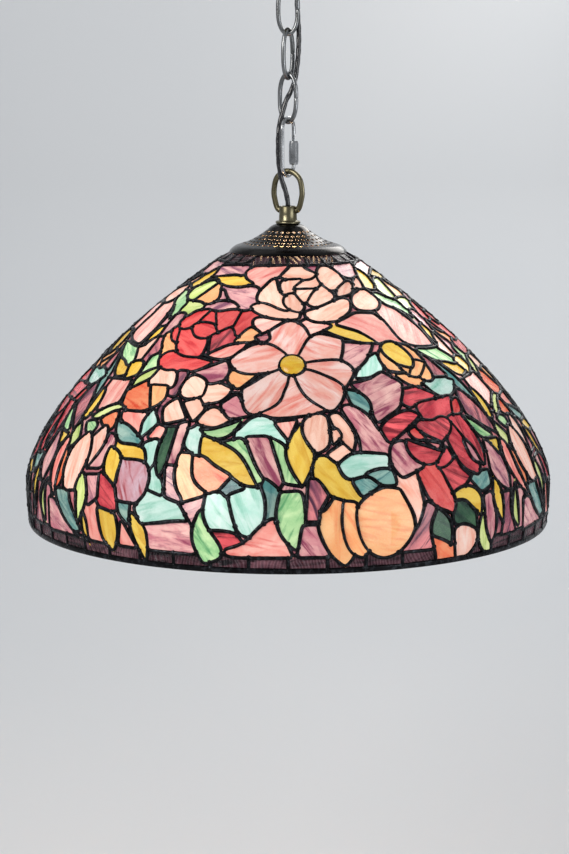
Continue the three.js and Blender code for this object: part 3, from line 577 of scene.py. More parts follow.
def lower_middle() -> list[Pane]:
    """Draw the ribbons, the small tulip, the snowdrop and the glass between, below the daisy."""
    g = Glass
    return [
        pane(g.MINT, (-24, 222), (-22.5, 213), (-20.5, 222), (-19.8, 238), (-22, 237), (-24, 231)),
        pane(g.GREEN, (-19.5, 217), (-15.5, 212), (-11.7, 205), (-14, 218), (-17.5, 222)),
        pane(g.MINT, (-12, 217), (-9, 203), (-6.5, 200), (-3, 207), (-1, 224), (-4, 219), (-8, 217)),
        pane(g.SALMON, (-2.8, 206), (1.8, 204), (0, 221)),
        pane(g.GREEN, (-15, 228), (-11, 223), (-8, 236), (-5.5, 262), (-6.5, 266), (-9, 254), (-12, 238)),
        pane(g.ROSE, (-9.5, 222), (-5, 221), (-3, 240), (-1, 258), (-2, 267), (-5, 258)),
        pane(g.GREEN, (-3.7, 223), (-1, 230), (0, 245), (2.3, 265), (-0.5, 263), (-1.5, 248)),
        pane(g.GOLD, (-20, 223), (-16, 228), (-11, 240), (-7, 266), (-9, 265), (-17.5, 248), (-19.5, 240)),
        pane(g.GOLD, (0, 232), (3, 208), (3.7, 222), (5.5, 238), (4.7, 250), (3, 265), (1, 250)),
        pane(g.GOLD, (6.5, 241), (8.5, 241), (11, 250), (14, 268), (14, 279), (10, 277), (6, 262),
             (5.7, 250)),
        pane(g.CREAM, (4.5, 203), (8, 198), (9.5, 201), (9, 228), (6.5, 235), (4, 217)),
        pane(g.CREAM, (10.5, 199), (12.5, 197), (14.5, 208), (15.5, 222), (14.5, 234), (12.7, 224)),
        pane(g.CREAM, (10.5, 215), (11.5, 213), (12.3, 220), (10.5, 227)),
        pane(g.CREAM, (9, 238), (12.5, 229), (14, 236), (10.5, 244)),
        pane(g.MINT, (11.3, 248), (15, 239), (22.5, 242), (22, 252), (18, 253), (14, 260), (12.5, 259)),
        pane(g.TEAL, (17, 259), (20, 255), (22.7, 256), (23, 268), (20, 267)),
        pane(g.TEAL, (14, 264), (17, 262), (19, 269), (15.5, 277)),
        pane(g.BUD, (-24.5, 241), (-22, 241), (-21, 262), (-17.5, 276), (-21, 282), (-23, 275),
             (-24.5, 260)),
        pane(g.ORANGE, (-21, 243), (-19, 243), (-17, 249), (-12.5, 259), (-14, 268), (-16.5, 274),
             (-20, 262)),
        pane(g.TEAL, (-12, 262), (-9.5, 269), (-12, 276), (-14, 273)),
        pane(g.TEAL, (-4.5, 262), (-1.8, 274), (-2.5, 288), (-4, 294)),
        pane(g.MINT, (-17, 288), (-16, 277), (-14, 275), (-12, 290), (-10.7, 309), (-15.5, 305),
             (-16.7, 297)),
        pane(g.MINT, (-12, 277), (-8, 271), (-5.5, 273), (-5, 285), (-5.5, 302), (-7.5, 311), (-9.5, 308)),
        pane(g.RUBY, (-16, 309), (-11, 311), (-9.7, 317), (-12, 321)),
        pane(g.MAUVE, (-22, 287), (-17.7, 280), (-19.5, 302)),
        pane(g.ROSE, (-29.5, 311), (-25, 305), (-21, 303), (-19.4, 329), (-29, 329)),
        pane(g.GREEN, (-18, 296), (-16.5, 307), (-13.8, 325), (-14, 332), (-17, 337), (-19, 320),
             (-19, 305)),
        pane(g.SALMON, (-12.5, 326), (-9, 320), (-5, 303), (-3, 297), (-1, 315), (0.5, 329), (-12, 329)),
        pane(g.GREEN, (-1.3, 274), (2.5, 273), (3, 285), (3, 308), (1.5, 322), (-1, 310), (-2, 293)),
        pane(g.PLUM, (4.6, 262), (6, 263), (8, 276), (6, 290), (6, 297), (3.9, 297)),
        pane(g.ROSE, (3.2, 303), (6, 303), (7, 316), (8, 329), (2.2, 329)),
    ]


def golden_bloom() -> list[Pane]:
    """Draw the big golden flower and the glass beside it, at the lower right."""
    g = Glass
    return [
        pane(g.PLUM, (25.5, 318), (28.5, 300), (29.5, 288), (31.5, 291), (30.5, 310), (30.5, 329),
             (22.5, 329)),
        pane(g.PEACH, (24, 270), (28, 264), (28.3, 280), (28.5, 288), (26.7, 307), (25, 290)),
        pane(g.BUD, (6.5, 300), (9.5, 280), (11, 282), (11, 303), (11.3, 316), (13, 330), (11.5, 338),
             (9, 328), (7, 312)),
        pane(g.BUD, (11.6, 283), (13.8, 284), (13.5, 300), (14, 312), (16.3, 325), (15, 331),
             (12.7, 324), (11.3, 303)),
        pane(g.BUD, (14.3, 298), (15, 285), (20, 273), (23.5, 275), (26, 306), (23.5, 325),
             (19.5, 332), (16, 322)),
        pane(g.TEAL, (42.5, 272), (44, 269), (49, 268), (48.5, 280), (44.5, 284)),
        pane(g.GOLD, (36.5, 284), (39, 280), (42, 281), (43.7, 290), (43, 304), (40, 291)),
        pane(g.FOREST, (32, 296), (34, 303), (35, 313), (34.8, 328), (31, 318), (30.7, 308)),
        pane(g.FOREST, (36, 292), (39, 292), (41, 303), (41.8, 316), (38, 312), (36, 308)),
        pane(g.ORANGE, (30.7, 320), (35, 330), (36.3, 342), (34, 342), (32, 335)),
        pane(g.PEACH, (36.3, 316), (38, 313), (41.7, 320), (42, 330), (39, 342), (37, 341)),
        pane(g.LIME, (44, 305), (45, 318), (47.3, 340), (46, 344), (43.6, 332), (43.2, 319)),
        pane(g.ROSE, (45, 290), (47.5, 288), (48.8, 305), (48.5, 325), (47.3, 331), (45.3, 315)),
        pane(g.GOLD, (50.3, 277), (51.7, 285), (51.8, 315), (49.5, 303), (48.8, 292)),
        pane(g.MAUVE, (51.5, 258), (53, 240), (57, 254), (57.6, 272), (56, 288), (53, 282), (50.7, 270)),
        pane(g.GOLD, (55, 240), (59.5, 241), (57.5, 254)),
        pane(g.PLUM, (55, 184), (58, 194), (61, 215), (61, 233), (57, 224), (52, 210), (53, 192)),
        pane(g.GREEN, (50, 213), (53, 220), (58, 236), (54, 236), (51.5, 228)),
        pane(g.LIME, (57, 300), (59.5, 284), (58.7, 298), (59.7, 325), (57, 314)),
        pane(g.PLUM, (53, 292), (56, 292), (55.3, 306), (57.7, 328), (52, 328), (52.7, 310)),
    ]


# ---- the dome and how the glass sits on it ---------------------------------------------------

@dataclass(frozen=True)
class Dome:
    """The shade's outer curve, from its top edge down the slope to the rim."""

    top_radius: float = 54.0
    widest: float = 253.55
    height: float = 262.6
    widest_height: float = 41.0
    shoulder: tuple[float, float] = (0.784, 0.628)
    side_height: float = 0.293
    rim_tuck: float = 2.6
    rim_z: float = 0.0
    samples: int = 700

    def curve(self) -> list[tuple[float, float, float]]:
        """Walk down the curve.

        Returns:
            (distance down the slope, radius, height) of each sample.
        """
        a = Vector((self.top_radius, self.height))
        b = Vector((self.widest * self.shoulder[0], self.height * self.shoulder[1]))
        c = Vector((self.widest, self.height * self.side_height))
        d = Vector((self.widest, self.widest_height))
        e = Vector((self.widest, self.widest_height * 0.45))
        f = Vector((self.widest - self.rim_tuck, 0))
        walk = []
        for i in range(self.samples + 1):
            t = i / self.samples
            walk.append((1 - t) ** 3 * a + 3 * t * (1 - t) ** 2 * b + 3 * t ** 2 * (1 - t) * c + t ** 3 * d)
        for i in range(1, 81):
            t = i / 80
            walk.append((1 - t) ** 2 * d + 2 * t * (1 - t) * e + t ** 2 * f)
        table, gone = [], 0.0
        for i, point in enumerate(walk):
            gone += (point - walk[i - 1]).length if i else 0.0
            table.append((gone, point.x, self.rim_z + point.y))
        return table


class Slope:
    """Finds places on the dome from a turn and a distance down the slope."""

    def __init__(self, dome: Dome) -> None:
        """Keep the curve's samples.

        Args:
            dome: the curve.
        """
        self.table = dome.curve()
        self.length = self.table[-1][0]

    def at(self, slant: float) -> tuple[float, float, float, float]:
        """Find the curve at a distance down it.

        Args:
            slant: the distance from the top edge.

        Returns:
            Radius and height there, and the two parts of the outward direction.
        """
        slant = min(max(slant, 0.0), self.length)
        low, high = 0, len(self.table) - 1
        while high - low > 1:
            middle = (low + high) // 2
            low, high = (middle, high) if self.table[middle][0] <= slant else (low, middle)
        (s0, r0, z0), (s1, r1, z1) = self.table[low], self.table[high]
        share = (slant - s0) / (s1 - s0)
        return r0 + (r1 - r0) * share, z0 + (z1 - z0) * share, (z0 - z1) / (s1 - s0), (r1 - r0) / (s1 - s0)

    def place(self, turn: float, slant: float, lift: float = 0.0) -> Vector:
        """Find a place over the glass.

        Args:
            turn: degrees round the lamp from its front.
            slant: distance down the slope.
            lift: height over the outer face.

        Returns:
            The place in millimetres.
        """
        r, z, out, up = self.at(slant)
        angle = math.radians(turn - 90)
        reach = r + out * lift
        return Vector((reach * math.cos(angle), reach * math.sin(angle), z + up * lift))

    def outward(self, turn: float, slant: float) -> Vector:
        """Find the direction square to the glass at a place."""
        _, _, out, up = self.at(slant)
        angle = math.radians(turn - 90)
        return Vector((out * math.cos(angle), out * math.sin(angle), up))


def rounded_outline(points: Outline, grow: float, across: float, sharp: float = 62.0,
                    step: float = 3.2) -> list[tuple[float, float]]:
    """Round an outline between its sharp corners, and grow it to the middle of its lead.

    Args:
        points: (turn, slant) points of the outline.
        grow: how far it grows, in millimetres.
        across: millimetres for each degree of turn.
        sharp: a bend over this many degrees stays a corner.
        step: the longest chord of the result.

    Returns:
        The outline, anticlockwise in (turn, slant).
    """
    flat = [Vector((t * across, s)) for t, s in points]
    area = sum(a.x * b.y - b.x * a.y for a, b in zip(flat, flat[1:] + flat[:1]))
    if area < 0:
        flat.reverse()
    count = len(flat)
    grown, corner = [], []
    for i in range(count):
        before = (flat[i] - flat[i - 1]).normalized()
        after = (flat[(i + 1) % count] - flat[i]).normalized()
        bend = math.degrees(math.atan2(before.x * after.y - before.y * after.x, before.dot(after)))
        corner.append(abs(bend) > sharp)
        out = Vector((before.y + after.y, -before.x - after.x))
        reach = grow / max(math.cos(math.radians(bend) / 2), 0.55)
        grown.append(flat[i] + out.normalized() * reach)
    result = []
    for i in range(count):
        a, b, c, d = (grown[(i + k) % count] for k in (-1, 0, 1, 2))
        chord = (c - b).length
        leave = (c - b) if corner[i] else (c - a).normalized() * chord
        arrive = (c - b) if corner[(i + 1) % count] else (d - b).normalized() * chord
        steps = max(1, round(chord / step))
        for k in range(steps):
            t = k / steps
            point = ((2 * t ** 3 - 3 * t ** 2 + 1) * b + (t ** 3 - 2 * t ** 2 + t) * leave
                     + (3 * t ** 2 - 2 * t ** 3) * c + (t ** 3 - t ** 2) * arrive)
            result.append((point.x / across, point.y))
    return result


@dataclass
class Piece:
    """One pane after all outlines have cut each other: its glass and its triangles."""

    glass: Glass
    faces: list[tuple[int, int, int]]


class Leading:
    """Cuts the overlapping outlines into panes and finds the lead lines between them."""

    READ_HALF = 63.25
    EASE_FROM = 45.0
    SPREAD = 3.2
    FIELD_TOP = 15.5
    FIELD_END = 328.5
    GLASS_END = 342.2
    THIN = 1.75

    def __init__(self, slope: Slope) -> None:
        """Build the whole arrangement.

        Args:
            slope: finds places on the dome.
        """
        self.slope = slope
        self.turns: list[tuple[float, float]] = []
        self.pieces: dict[int, Piece] = {}
        self._cut()

    def settle(self, turn: float) -> float:
        """Ease the pattern's repeat into a third of the circle near its two ends."""
        beyond = abs(turn) - self.EASE_FROM
        if beyond <= 0:
            return turn
        share = (60 - self.EASE_FROM) / (self.READ_HALF - self.EASE_FROM)
        return math.copysign(self.EASE_FROM + beyond * share, turn)

    def ground(self) -> list[Pane]:
        """Lay out the panes behind the flowers, which tile one third of the shade.

        Returns:
            Rectangular panes, row by row.
        """
        g = Glass
        rows = [
            (0, self.FIELD_TOP, 8, (g.BORDER,)),
            (self.FIELD_TOP, 52, 5, (g.MAUVE, g.ROSE)),
            (52, 92, 6, (g.PLUM, g.MAUVE)),
            (92, 135, 7, (g.ROSE, g.PLUM)),
            (135, 175, 8, (g.PLUM, g.ROSE)),
            (175, 215, 9, (g.PLUM, g.MAUVE, g.PLUM)),
            (215, 250, 10, (g.MAUVE, g.PLUM)),
            (250, 290, 11, (g.PLUM, g.PLUM, g.MAUVE)),
            (290, self.FIELD_END, 12, (g.PLUM, g.PLUM, g.ROSE)),
            (self.FIELD_END, self.GLASS_END, 16, (g.BORDER,)),
        ]
        tiles = []
        for top, bottom, count, kinds in rows:
            wide = 2 * self.READ_HALF / count
            for i in range(count):
                left = -self.READ_HALF + wide * i
                tiles.append(Pane(kinds[i % len(kinds)], (
                    (left, top), (left + wide, top), (left + wide, bottom), (left, bottom)), 0))
        return tiles

    def _outlines(self) -> tuple[list[list[tuple[float, float]]], list[tuple[int, int, Glass]]]:
        """List every outline, with its copies over the third's two edges.

        Returns:
            The outlines, and for each its pane number, the repeat it stands in and its glass.
        """
        outlines, owners = [], []
        for tile in self.ground():
            outlines.append(list(tile.points))
            owners.append((len(owners), 0, tile.glass))
        drawn = (golden_spray() + coral_rose() + top_right() + cream_peony() + middle_band() + golden_bud()
                 + left_garden() + lower_middle() + golden_bloom() + ruby_rose() + daisy())
        for number, shape in enumerate(drawn, start=len(owners)):
            middle = sum(s for _, s in shape.points) / len(shape.points)
            across = math.radians(self.slope.at(middle)[0])
            outline = rounded_outline(shape.points, shape.grow, across)
            for repeat in (-1, 0, 1):
                shift = 2 * self.READ_HALF * repeat
                moved = [(t + shift, min(s, self.GLASS_END)) for t, s in outline]
                if min(t for t, _ in moved) < self.READ_HALF and max(t for t, _ in moved) > -self.READ_HALF:
                    outlines.append(moved)
                    owners.append((number, repeat, shape.glass))
        return outlines, owners

    def _loose_points(self, gap: float = 11.0) -> list[tuple[float, float]]:
        """Spread points inside the panes, so that a large pane can bend a little."""
        spread, slant = [], 22.0
        while slant < self.FIELD_END - 4:
            step = math.degrees(gap / self.slope.at(slant)[0])
            count = int(2 * self.READ_HALF / step)
            for i in range(count):
                spread.append((-self.READ_HALF + (i + 0.5) * 2 * self.READ_HALF / count, slant))
            slant += gap
        return spread

    def _cut(self) -> None:
        """Let the outlines cut each other, join the three thirds and drop slivers."""
        outlines, owners = self._outlines()
        points, polygons = [], []
        for outline in outlines:
            polygons.append(list(range(len(points), len(points) + len(outline))))
            points += [(t * self.SPREAD, s) for t, s in outline]
        points += [(t * self.SPREAD, s) for t, s in self._loose_points()]
        coords, _, faces, _, _, origins = delaunay_2d_cdt(
            [Vector(p) for p in points], [], polygons, 0, 1e-4, True)
        edge = self.READ_HALF * self.SPREAD
        kept = []
        for face, origin in zip(faces, origins):
            middle = sum((coords[v].x for v in face)) / 3
            if origin and abs(middle) < edge:
                kept.append((tuple(face), owners[max(origin)]))
        touched = {v for f, _ in kept for v in f}
        left = sorted((coords[v].y, v) for v in touched if coords[v].x < -edge + 0.01)

        def partner(v: int) -> int:
            """Find the same lead crossing on the third's left edge."""
            return min(left, key=lambda item: abs(item[0] - coords[v].y))[1]

        right = {v: partner(v) for v in touched if coords[v].x > edge - 0.01}
        used = sorted(touched - set(right))
        number = {v: i for i, v in enumerate(used)}
        count = len(used)
        for repeat in range(3):
            for v in used:
                self.turns.append((self.settle(coords[v].x / self.SPREAD) + 120 * repeat, coords[v].y))
        triangles, names = [], []
        for repeat in range(3):
            for face, (shape, shift, glass) in kept:
                triangle = tuple(
                    number[right.get(v, v)] + count * ((repeat + (v in right)) % 3) for v in face)
                if len(set(triangle)) == 3:
                    triangles.append(triangle)
                    names.append((shape, (repeat + shift) % 3, glass))
        self.places = [self.slope.place(*turn) for turn in self.turns]
        self._gather(triangles, names)

    def _gather(self, triangles: list[tuple[int, int, int]], names: list[tuple[int, int, Glass]]) -> None:
        """Gather triangles into panes, and give slivers to a neighbour.

        Args:
            triangles: three point numbers each.
            names: the outline that each triangle belongs to.
        """
        sides: dict[tuple[int, int], list[int]] = {}
        for index, tri in enumerate(triangles):
            for a, b in zip(tri, tri[1:] + tri[:1]):
                sides.setdefault((min(a, b), max(a, b)), []).append(index)
        parent = list(range(len(triangles)))

        def root(i: int) -> int:
            """Find the pane that a triangle is in."""
            while parent[i] != i:
                parent[i] = parent[parent[i]]
                i = parent[i]
            return i

        for pair in sides.values():
            if len(pair) == 2 and names[pair[0]] == names[pair[1]]:
                parent[root(pair[0])] = root(pair[1])
        length = {side: (self.places[side[0]] - self.places[side[1]]).length for side in sides}
        areas = [((self.places[b] - self.places[a]).cross(self.places[c] - self.places[a])).length / 2
                 for a, b, c in triangles]
        for _ in range(4):
            area: dict[int, float] = {}
            for index in range(len(triangles)):
                area[root(index)] = area.get(root(index), 0.0) + areas[index]
            around: dict[int, dict[int, float]] = {}
            for side, pair in sides.items():
                if len(pair) == 2 and root(pair[0]) != root(pair[1]):
                    a, b = root(pair[0]), root(pair[1])
                    for one, other in ((a, b), (b, a)):
                        near = around.setdefault(one, {})
                        near[other] = near.get(other, 0.0) + length[side]
            for pane_root, near in around.items():
                total = sum(near.values())
                if root(pane_root) != pane_root or names[pane_root][2] is Glass.JEWEL:
                    continue
                if 2 * area[pane_root] / total < self.THIN or area[pane_root] < 22:
                    choices = {k: v for k, v in near.items() if names[k][2] is not Glass.JEWEL}
                    if choices:
                        parent[pane_root] = root(max(choices, key=choices.get))
        for index, tri in enumerate(triangles):
            home = root(index)
            self.pieces.setdefault(home, Piece(names[home][2], [])).faces.append(tri)
        self.lines = [side for side, pair in sides.items()
                      if len(pair) == 1 or root(pair[0]) != root(pair[1])]
        self.beside = {side: tuple(names[root(i)][2] for i in sides[side]) for side in self.lines}

    def third_of(self, numbers: Sequence[int]) -> int:
        """Say which third of the shade most of these points are in."""
        middle = sum((self.places[n] for n in numbers), Vector()) / len(numbers)
        turn = math.degrees(math.atan2(middle.y, middle.x)) + 90
        return round(turn / 120) % 3

    def chains(self) -> list[list[int]]:
        """Follow the lead lines from joint to joint.

        Returns:
            Lists of point numbers; a closed ring starts and ends with the same point.
        """
        near: dict[int, set[int]] = {}
        for a, b in self.lines:
            near.setdefault(a, set()).add(b)
            near.setdefault(b, set()).add(a)
        self.joints = [v for v, others in near.items() if len(others) != 2]
        seen: set[tuple[int, int]] = set()
        found = []

        def follow(start: int, second: int) -> None:
            """Walk one line until it meets a joint or its own start."""
            chain = [start, second]
            seen.add((start, second))
            seen.add((second, start))
            while chain[-1] != start and len(near[chain[-1]]) == 2:
                onward = next(iter(near[chain[-1]] - {chain[-2]}), None)
                if onward is None or (chain[-1], onward) in seen:
                    break
                seen.add((chain[-1], onward))
                seen.add((onward, chain[-1]))
                chain.append(onward)
            found.append(chain)

        for v in self.joints:
            for other in sorted(near[v]):
                if (v, other) not in seen:
                    follow(v, other)
        for v in sorted(near):
            for other in sorted(near[v]):
                if (v, other) not in seen:
                    follow(v, other)
        return found


# ---- finishes --------------------------------------------------------------------------------

def paint(red: int, green: int, blue: int) -> Colour:
    """Turn a colour as seen, 0 to 255, into the light it gives back."""
    return tuple((c / 255 / 12.92) if c / 255 <= 0.04045 else ((c / 255 + 0.055) / 1.055) ** 2.4
                 for c in (red, green, blue))


class Graph:
    """Places and joins nodes in a material or a node group."""

    def __init__(self, tree: bpy.types.NodeTree) -> None:
        """Keep the tree and its links.

        Args:
            tree: the node tree to build in.
        """
        self.tree = tree
        self.nodes = tree.nodes
        self.nodes.clear()

    def add(self, kind: str, **settings: object) -> bpy.types.Node:
        """Add one node.

        Args:
            kind: the node's type name.
            settings: its properties.

        Returns:
            The node.
        """
        node = self.nodes.new(kind)
        for key, value in settings.items():
            setattr(node, key, value)
        return node

    def join(self, source: object, target: bpy.types.NodeSocket) -> None:
        """Join an output to an input, or set the input's value."""
        if isinstance(source, bpy.types.NodeSocket):
            self.tree.links.new(source, target)
        elif isinstance(source, tuple) and len(source) == 3 and len(target.default_value) == 4:
            target.default_value = (*source, 1)
        else:
            target.default_value = source

    def sum(self, operation: str, a: object, b: object = 0.0, clamp: bool = False) -> bpy.types.NodeSocket:
        """Do arithmetic on two values and return the answer's socket."""
        node = self.add("ShaderNodeMath", operation=operation, use_clamp=clamp)
        self.join(a, node.inputs[0])
        self.join(b, node.inputs[1])
        return node.outputs[0]

    def blend(self, share: object, a: object, b: object, how: str = "MIX") -> bpy.types.NodeSocket:
        """Blend two colours and return the result's socket."""
        node = self.add("ShaderNodeMix", data_type="RGBA", blend_type=how)
        self.join(share, node.inputs[0])
        self.join(a, node.inputs[6])
        self.join(b, node.inputs[7])
        return node.outputs[2]

    def spread(self, value: bpy.types.NodeSocket, low: float, high: float,
               to_low: float = 0.0, to_high: float = 1.0) -> bpy.types.NodeSocket:
        """Stretch a value's range and return the result's socket."""
        node = self.add("ShaderNodeMapRange")
        self.join(value, node.inputs[0])
        for i, number in enumerate((low, high, to_low, to_high), start=1):
            node.inputs[i].default_value = number
        return node.outputs[0]

    def noise(self, where: object, scale: float, detail: float = 3.0, rough: float = 0.5,
              twist: float = 0.0) -> bpy.types.NodeSocket:
        """Add cloudy noise and return its height's socket."""
        node = self.add("ShaderNodeTexNoise")
        self.join(where, node.inputs["Vector"])
        for name, number in (("Scale", scale), ("Detail", detail), ("Roughness", rough),
                             ("Distortion", twist)):
            node.inputs[name].default_value = number
        return node.outputs[0]

    def stretch(self, where: bpy.types.NodeSocket,
                scale: tuple[float, float, float]) -> bpy.types.NodeSocket:
        """Stretch a place and return the result's socket."""
        node = self.add("ShaderNodeMapping")
        self.join(where, node.inputs["Vector"])
        node.inputs["Scale"].default_value = scale
        return node.outputs[0]

    def enlarge(self, where: bpy.types.NodeSocket, size: object) -> bpy.types.NodeSocket:
        """Scale a place by a value and return the result's socket."""
        node = self.add("ShaderNodeVectorMath", operation="SCALE")
        self.join(where, node.inputs[0])
        self.join(size, node.inputs[3])
        return node.outputs[0]

    def grey(self, value: bpy.types.NodeSocket) -> bpy.types.NodeSocket:
        """Make a grey colour of a value and return its socket."""
        node = self.add("ShaderNodeCombineColor")
        for socket in node.inputs:
            self.join(value, socket)
        return node.outputs[0]


def group(name: str, inputs: Sequence[tuple[str, str]], outputs: Sequence[tuple[str, str]],
          build: Callable[[Graph, bpy.types.Node, bpy.types.Node], None]) -> bpy.types.NodeTree:
    """Make a shared effect.

    Args:
        name: the effect's name.
        inputs: (name, socket type) of each input.
        outputs: the same of each output.
        build: places the nodes between the group's input and output nodes.

    Returns:
        The node group.
    """
    tree = bpy.data.node_groups.new(name, "ShaderNodeTree")
    for way, sockets in (("INPUT", inputs), ("OUTPUT", outputs)):
        for socket, kind in sockets:
            tree.interface.new_socket(name=socket, in_out=way, socket_type=kind)
    graph = Graph(tree)
    build(graph, graph.add("NodeGroupInput"), graph.add("NodeGroupOutput"))
    return tree


FLOAT, VECTOR = "NodeSocketFloat", "NodeSocketVector"


class Effects:
    """The effects that several finishes share."""

    def __init__(self) -> None:
        """Build each effect once."""
        self.streaks = group("streaks", [("Place", VECTOR), ("Contrast", FLOAT)],
                             [("Wisp", FLOAT), ("Streak", FLOAT), ("Height", FLOAT)], self._streaks)
        self.ripple = group("ripple", [("Place", VECTOR)], [("Ridge", FLOAT), ("Height", FLOAT)],
                            self._ripple)
        self.patina = group("patina", [("Place", VECTOR), ("Size", FLOAT)],
                            [("WearAndGlint", FLOAT), ("Cloud", FLOAT), ("Height", FLOAT)], self._patina)

    @staticmethod
    def _streaks(g: Graph, start: bpy.types.Node, end: bpy.types.Node) -> None:
        """Draw long soft streaks and cloudy wisps, as in rolled art glass."""
        along = g.stretch(start.outputs[0], (0.16, 1.0, 1.0))
        wisp = g.noise(g.stretch(start.outputs[0], (0.45, 0.8, 1.0)), 0.5, 3.0, 0.55, 1.4)
        streak = g.noise(along, 1.6, 4.0, 0.55, 0.7)
        g.join(g.spread(wisp, 0.36, 0.66), end.inputs[0])
        middle = g.sum("SUBTRACT", streak, 0.5)
        g.join(g.sum("ADD", g.sum("MULTIPLY", middle, start.outputs[1]), 0.5, clamp=True), end.inputs[1])
        g.join(g.noise(start.outputs[0], 2.6, 2.0), end.inputs[2])

    @staticmethod
    def _ripple(g: Graph, start: bpy.types.Node, end: bpy.types.Node) -> None:
        """Draw close, uneven ridges, as in ripple glass."""
        wave = g.add("ShaderNodeTexWave", wave_type="BANDS", bands_direction="X")
        g.join(start.outputs[0], wave.inputs["Vector"])
        for name, number in (("Scale", 0.55), ("Distortion", 3.6), ("Detail", 2.0), ("Detail Scale", 1.1)):
            wave.inputs[name].default_value = number
        g.join(wave.outputs[1], end.inputs[0])
        g.join(wave.outputs[1], end.inputs[1])

    @staticmethod
    def _patina(g: Graph, start: bpy.types.Node, end: bpy.types.Node) -> None:
        """Draw spots rubbed bright, broad clouds and fine pitting; on the lead the bright spots are partly
        painted glints.
        """
        fine = g.noise(g.enlarge(start.outputs[0], start.outputs[1]), 1.0, 4.0, 0.6)
        share = g.sum("MULTIPLY", start.outputs[1], 0.25)
        cloud = g.noise(g.enlarge(start.outputs[0], share), 1.0, 2.0, 0.5)
        g.join(g.spread(fine, 0.5, 0.68), end.inputs[0])
        g.join(g.spread(cloud, 0.35, 0.65), end.inputs[1])
        g.join(fine, end.inputs[2])


def shader(name: str) -> tuple[bpy.types.Material, Graph, bpy.types.Node]:
    """Start a material.

    Args:
        name: the finish's name.

    Returns:
        The material, its graph and its shader.
    """
    material = bpy.data.materials.new(name)
    material.use_nodes = True
    g = Graph(material.node_tree)
    principled = g.add("ShaderNodeBsdfPrincipled")
    g.join(principled.outputs[0], g.add("ShaderNodeOutputMaterial").inputs[0])
    return material, g, principled


def bump(g: Graph, principled: bpy.types.Node, height: object, strength: float, depth: float) -> None:
    """Give a material relief.

    Args:
        g: the material's graph.
        principled: its shader.
        height: the relief's height.
        strength: how strongly it shows.
        depth: how deep it is, in millimetres.
    """
    node = g.add("ShaderNodeBump")
    node.inputs["Strength"].default_value = strength
    node.inputs["Distance"].default_value = depth * MM
    g.join(height, node.inputs["Height"])
    g.join(node.outputs[0], principled.inputs["Normal"])


def effect(g: Graph, tree: bpy.types.NodeTree, place_from: object, **values: float) -> bpy.types.Node:
    """Place a shared effect in a material.

    Args:
        g: the material's graph.
        tree: the effect.
        place_from: what it reads places from.
        values: its other inputs.

    Returns:
        The group node.
    """
    node = g.add("ShaderNodeGroup", node_tree=tree)
    g.join(place_from, node.inputs[0])
    for key, value in values.items():
        node.inputs[key].default_value = value
    return node


@dataclass(frozen=True)
class GlassFinish:
    """Streaky art glass lit from behind: its deep, middle and pale colours."""

    deep: Colour
    middle: Colour
    pale: Colour
    contrast: float = 2.6
    light: float = 0.42
    ripple: bool = False

    def make(self, name: str, effects: Effects) -> bpy.types.Material:
        """Build the material.

        Args:
            name: its name.
            effects: the shared effects.

        Returns:
            The material.
        """
        material, g, principled = shader(name)
        where = g.add("ShaderNodeUVMap", uv_map="grain").outputs[0]
        tone = g.add("ShaderNodeAttribute", attribute_name="tone").outputs["Fac"]
        glow = g.add("ShaderNodeAttribute", attribute_name="glow").outputs["Fac"]
        streaks = effect(g, effects.streaks, where, Contrast=self.contrast)
        colour = g.blend(streaks.outputs["Wisp"], self.middle, self.pale)
        colour = g.blend(g.spread(streaks.outputs["Streak"], 0.45, 0.95), colour, self.deep)
        colour = g.blend(1.0, colour, g.grey(tone), "MULTIPLY")
        g.join(colour, principled.inputs["Base Color"])
        lit = g.blend(1.0, colour, g.grey(glow), "MULTIPLY")
        g.join(lit, principled.inputs["Emission Color"])
        principled.inputs["Emission Strength"].default_value = self.light
        principled.inputs["IOR"].default_value = 1.5
        principled.inputs["Coat Weight"].default_value = 0.22
        principled.inputs["Coat Roughness"].default_value = 0.08
        if self.ripple:
            ridges = effect(g, effects.ripple, where)
            g.join(g.spread(ridges.outputs["Ridge"], 0.0, 1.0, 0.16, 0.3), principled.inputs["Roughness"])
            bump(g, principled, ridges.outputs["Height"], 1.0, 3.2)
        else:
            g.join(g.spread(streaks.outputs["Height"], 0.3, 0.7, 0.2, 0.34), principled.inputs["Roughness"])
            bump(g, principled, streaks.outputs["Height"], 0.35, 0.35)
        return material


@dataclass(frozen=True)
class MetalFinish:
    """Metal with a patina that is rubbed bright in spots; on the lead these pale spots also stand in for
    glints, a painted highlight.
    """

    body: Colour
    wear_and_glint: Colour
    dark: Colour
    rough: tuple[float, float] = (0.25, 0.45)
    metallic: float = 1.0
    size: float = 260.0
    wear_and_glint_share: float = 0.5
    relief: float = 0.12

    def make(self, name: str, effects: Effects) -> bpy.types.Material:
        """Build the material.

        Args:
            name: its name.
            effects: the shared effects.

        Returns:
            The material.
        """
        material, g, principled = shader(name)
        where = g.add("ShaderNodeTexCoord").outputs["Object"]
        patina = effect(g, effects.patina, where, Size=self.size)
        colour = g.blend(patina.outputs["Cloud"], self.dark, self.body)
        # Pale spots: rubbed wear, and on the lead also painted glints.
        wear_and_glint = g.sum("MULTIPLY", patina.outputs["WearAndGlint"], self.wear_and_glint_share)
        g.join(g.blend(wear_and_glint, colour, self.wear_and_glint), principled.inputs["Base Color"])
        g.join(g.spread(patina.outputs["Height"], 0.3, 0.7, self.rough[1], self.rough[0]),
               principled.inputs["Roughness"])
        principled.inputs["Metallic"].default_value = self.metallic
        bump(g, principled, patina.outputs["Height"], 0.6, self.relief)
        return material


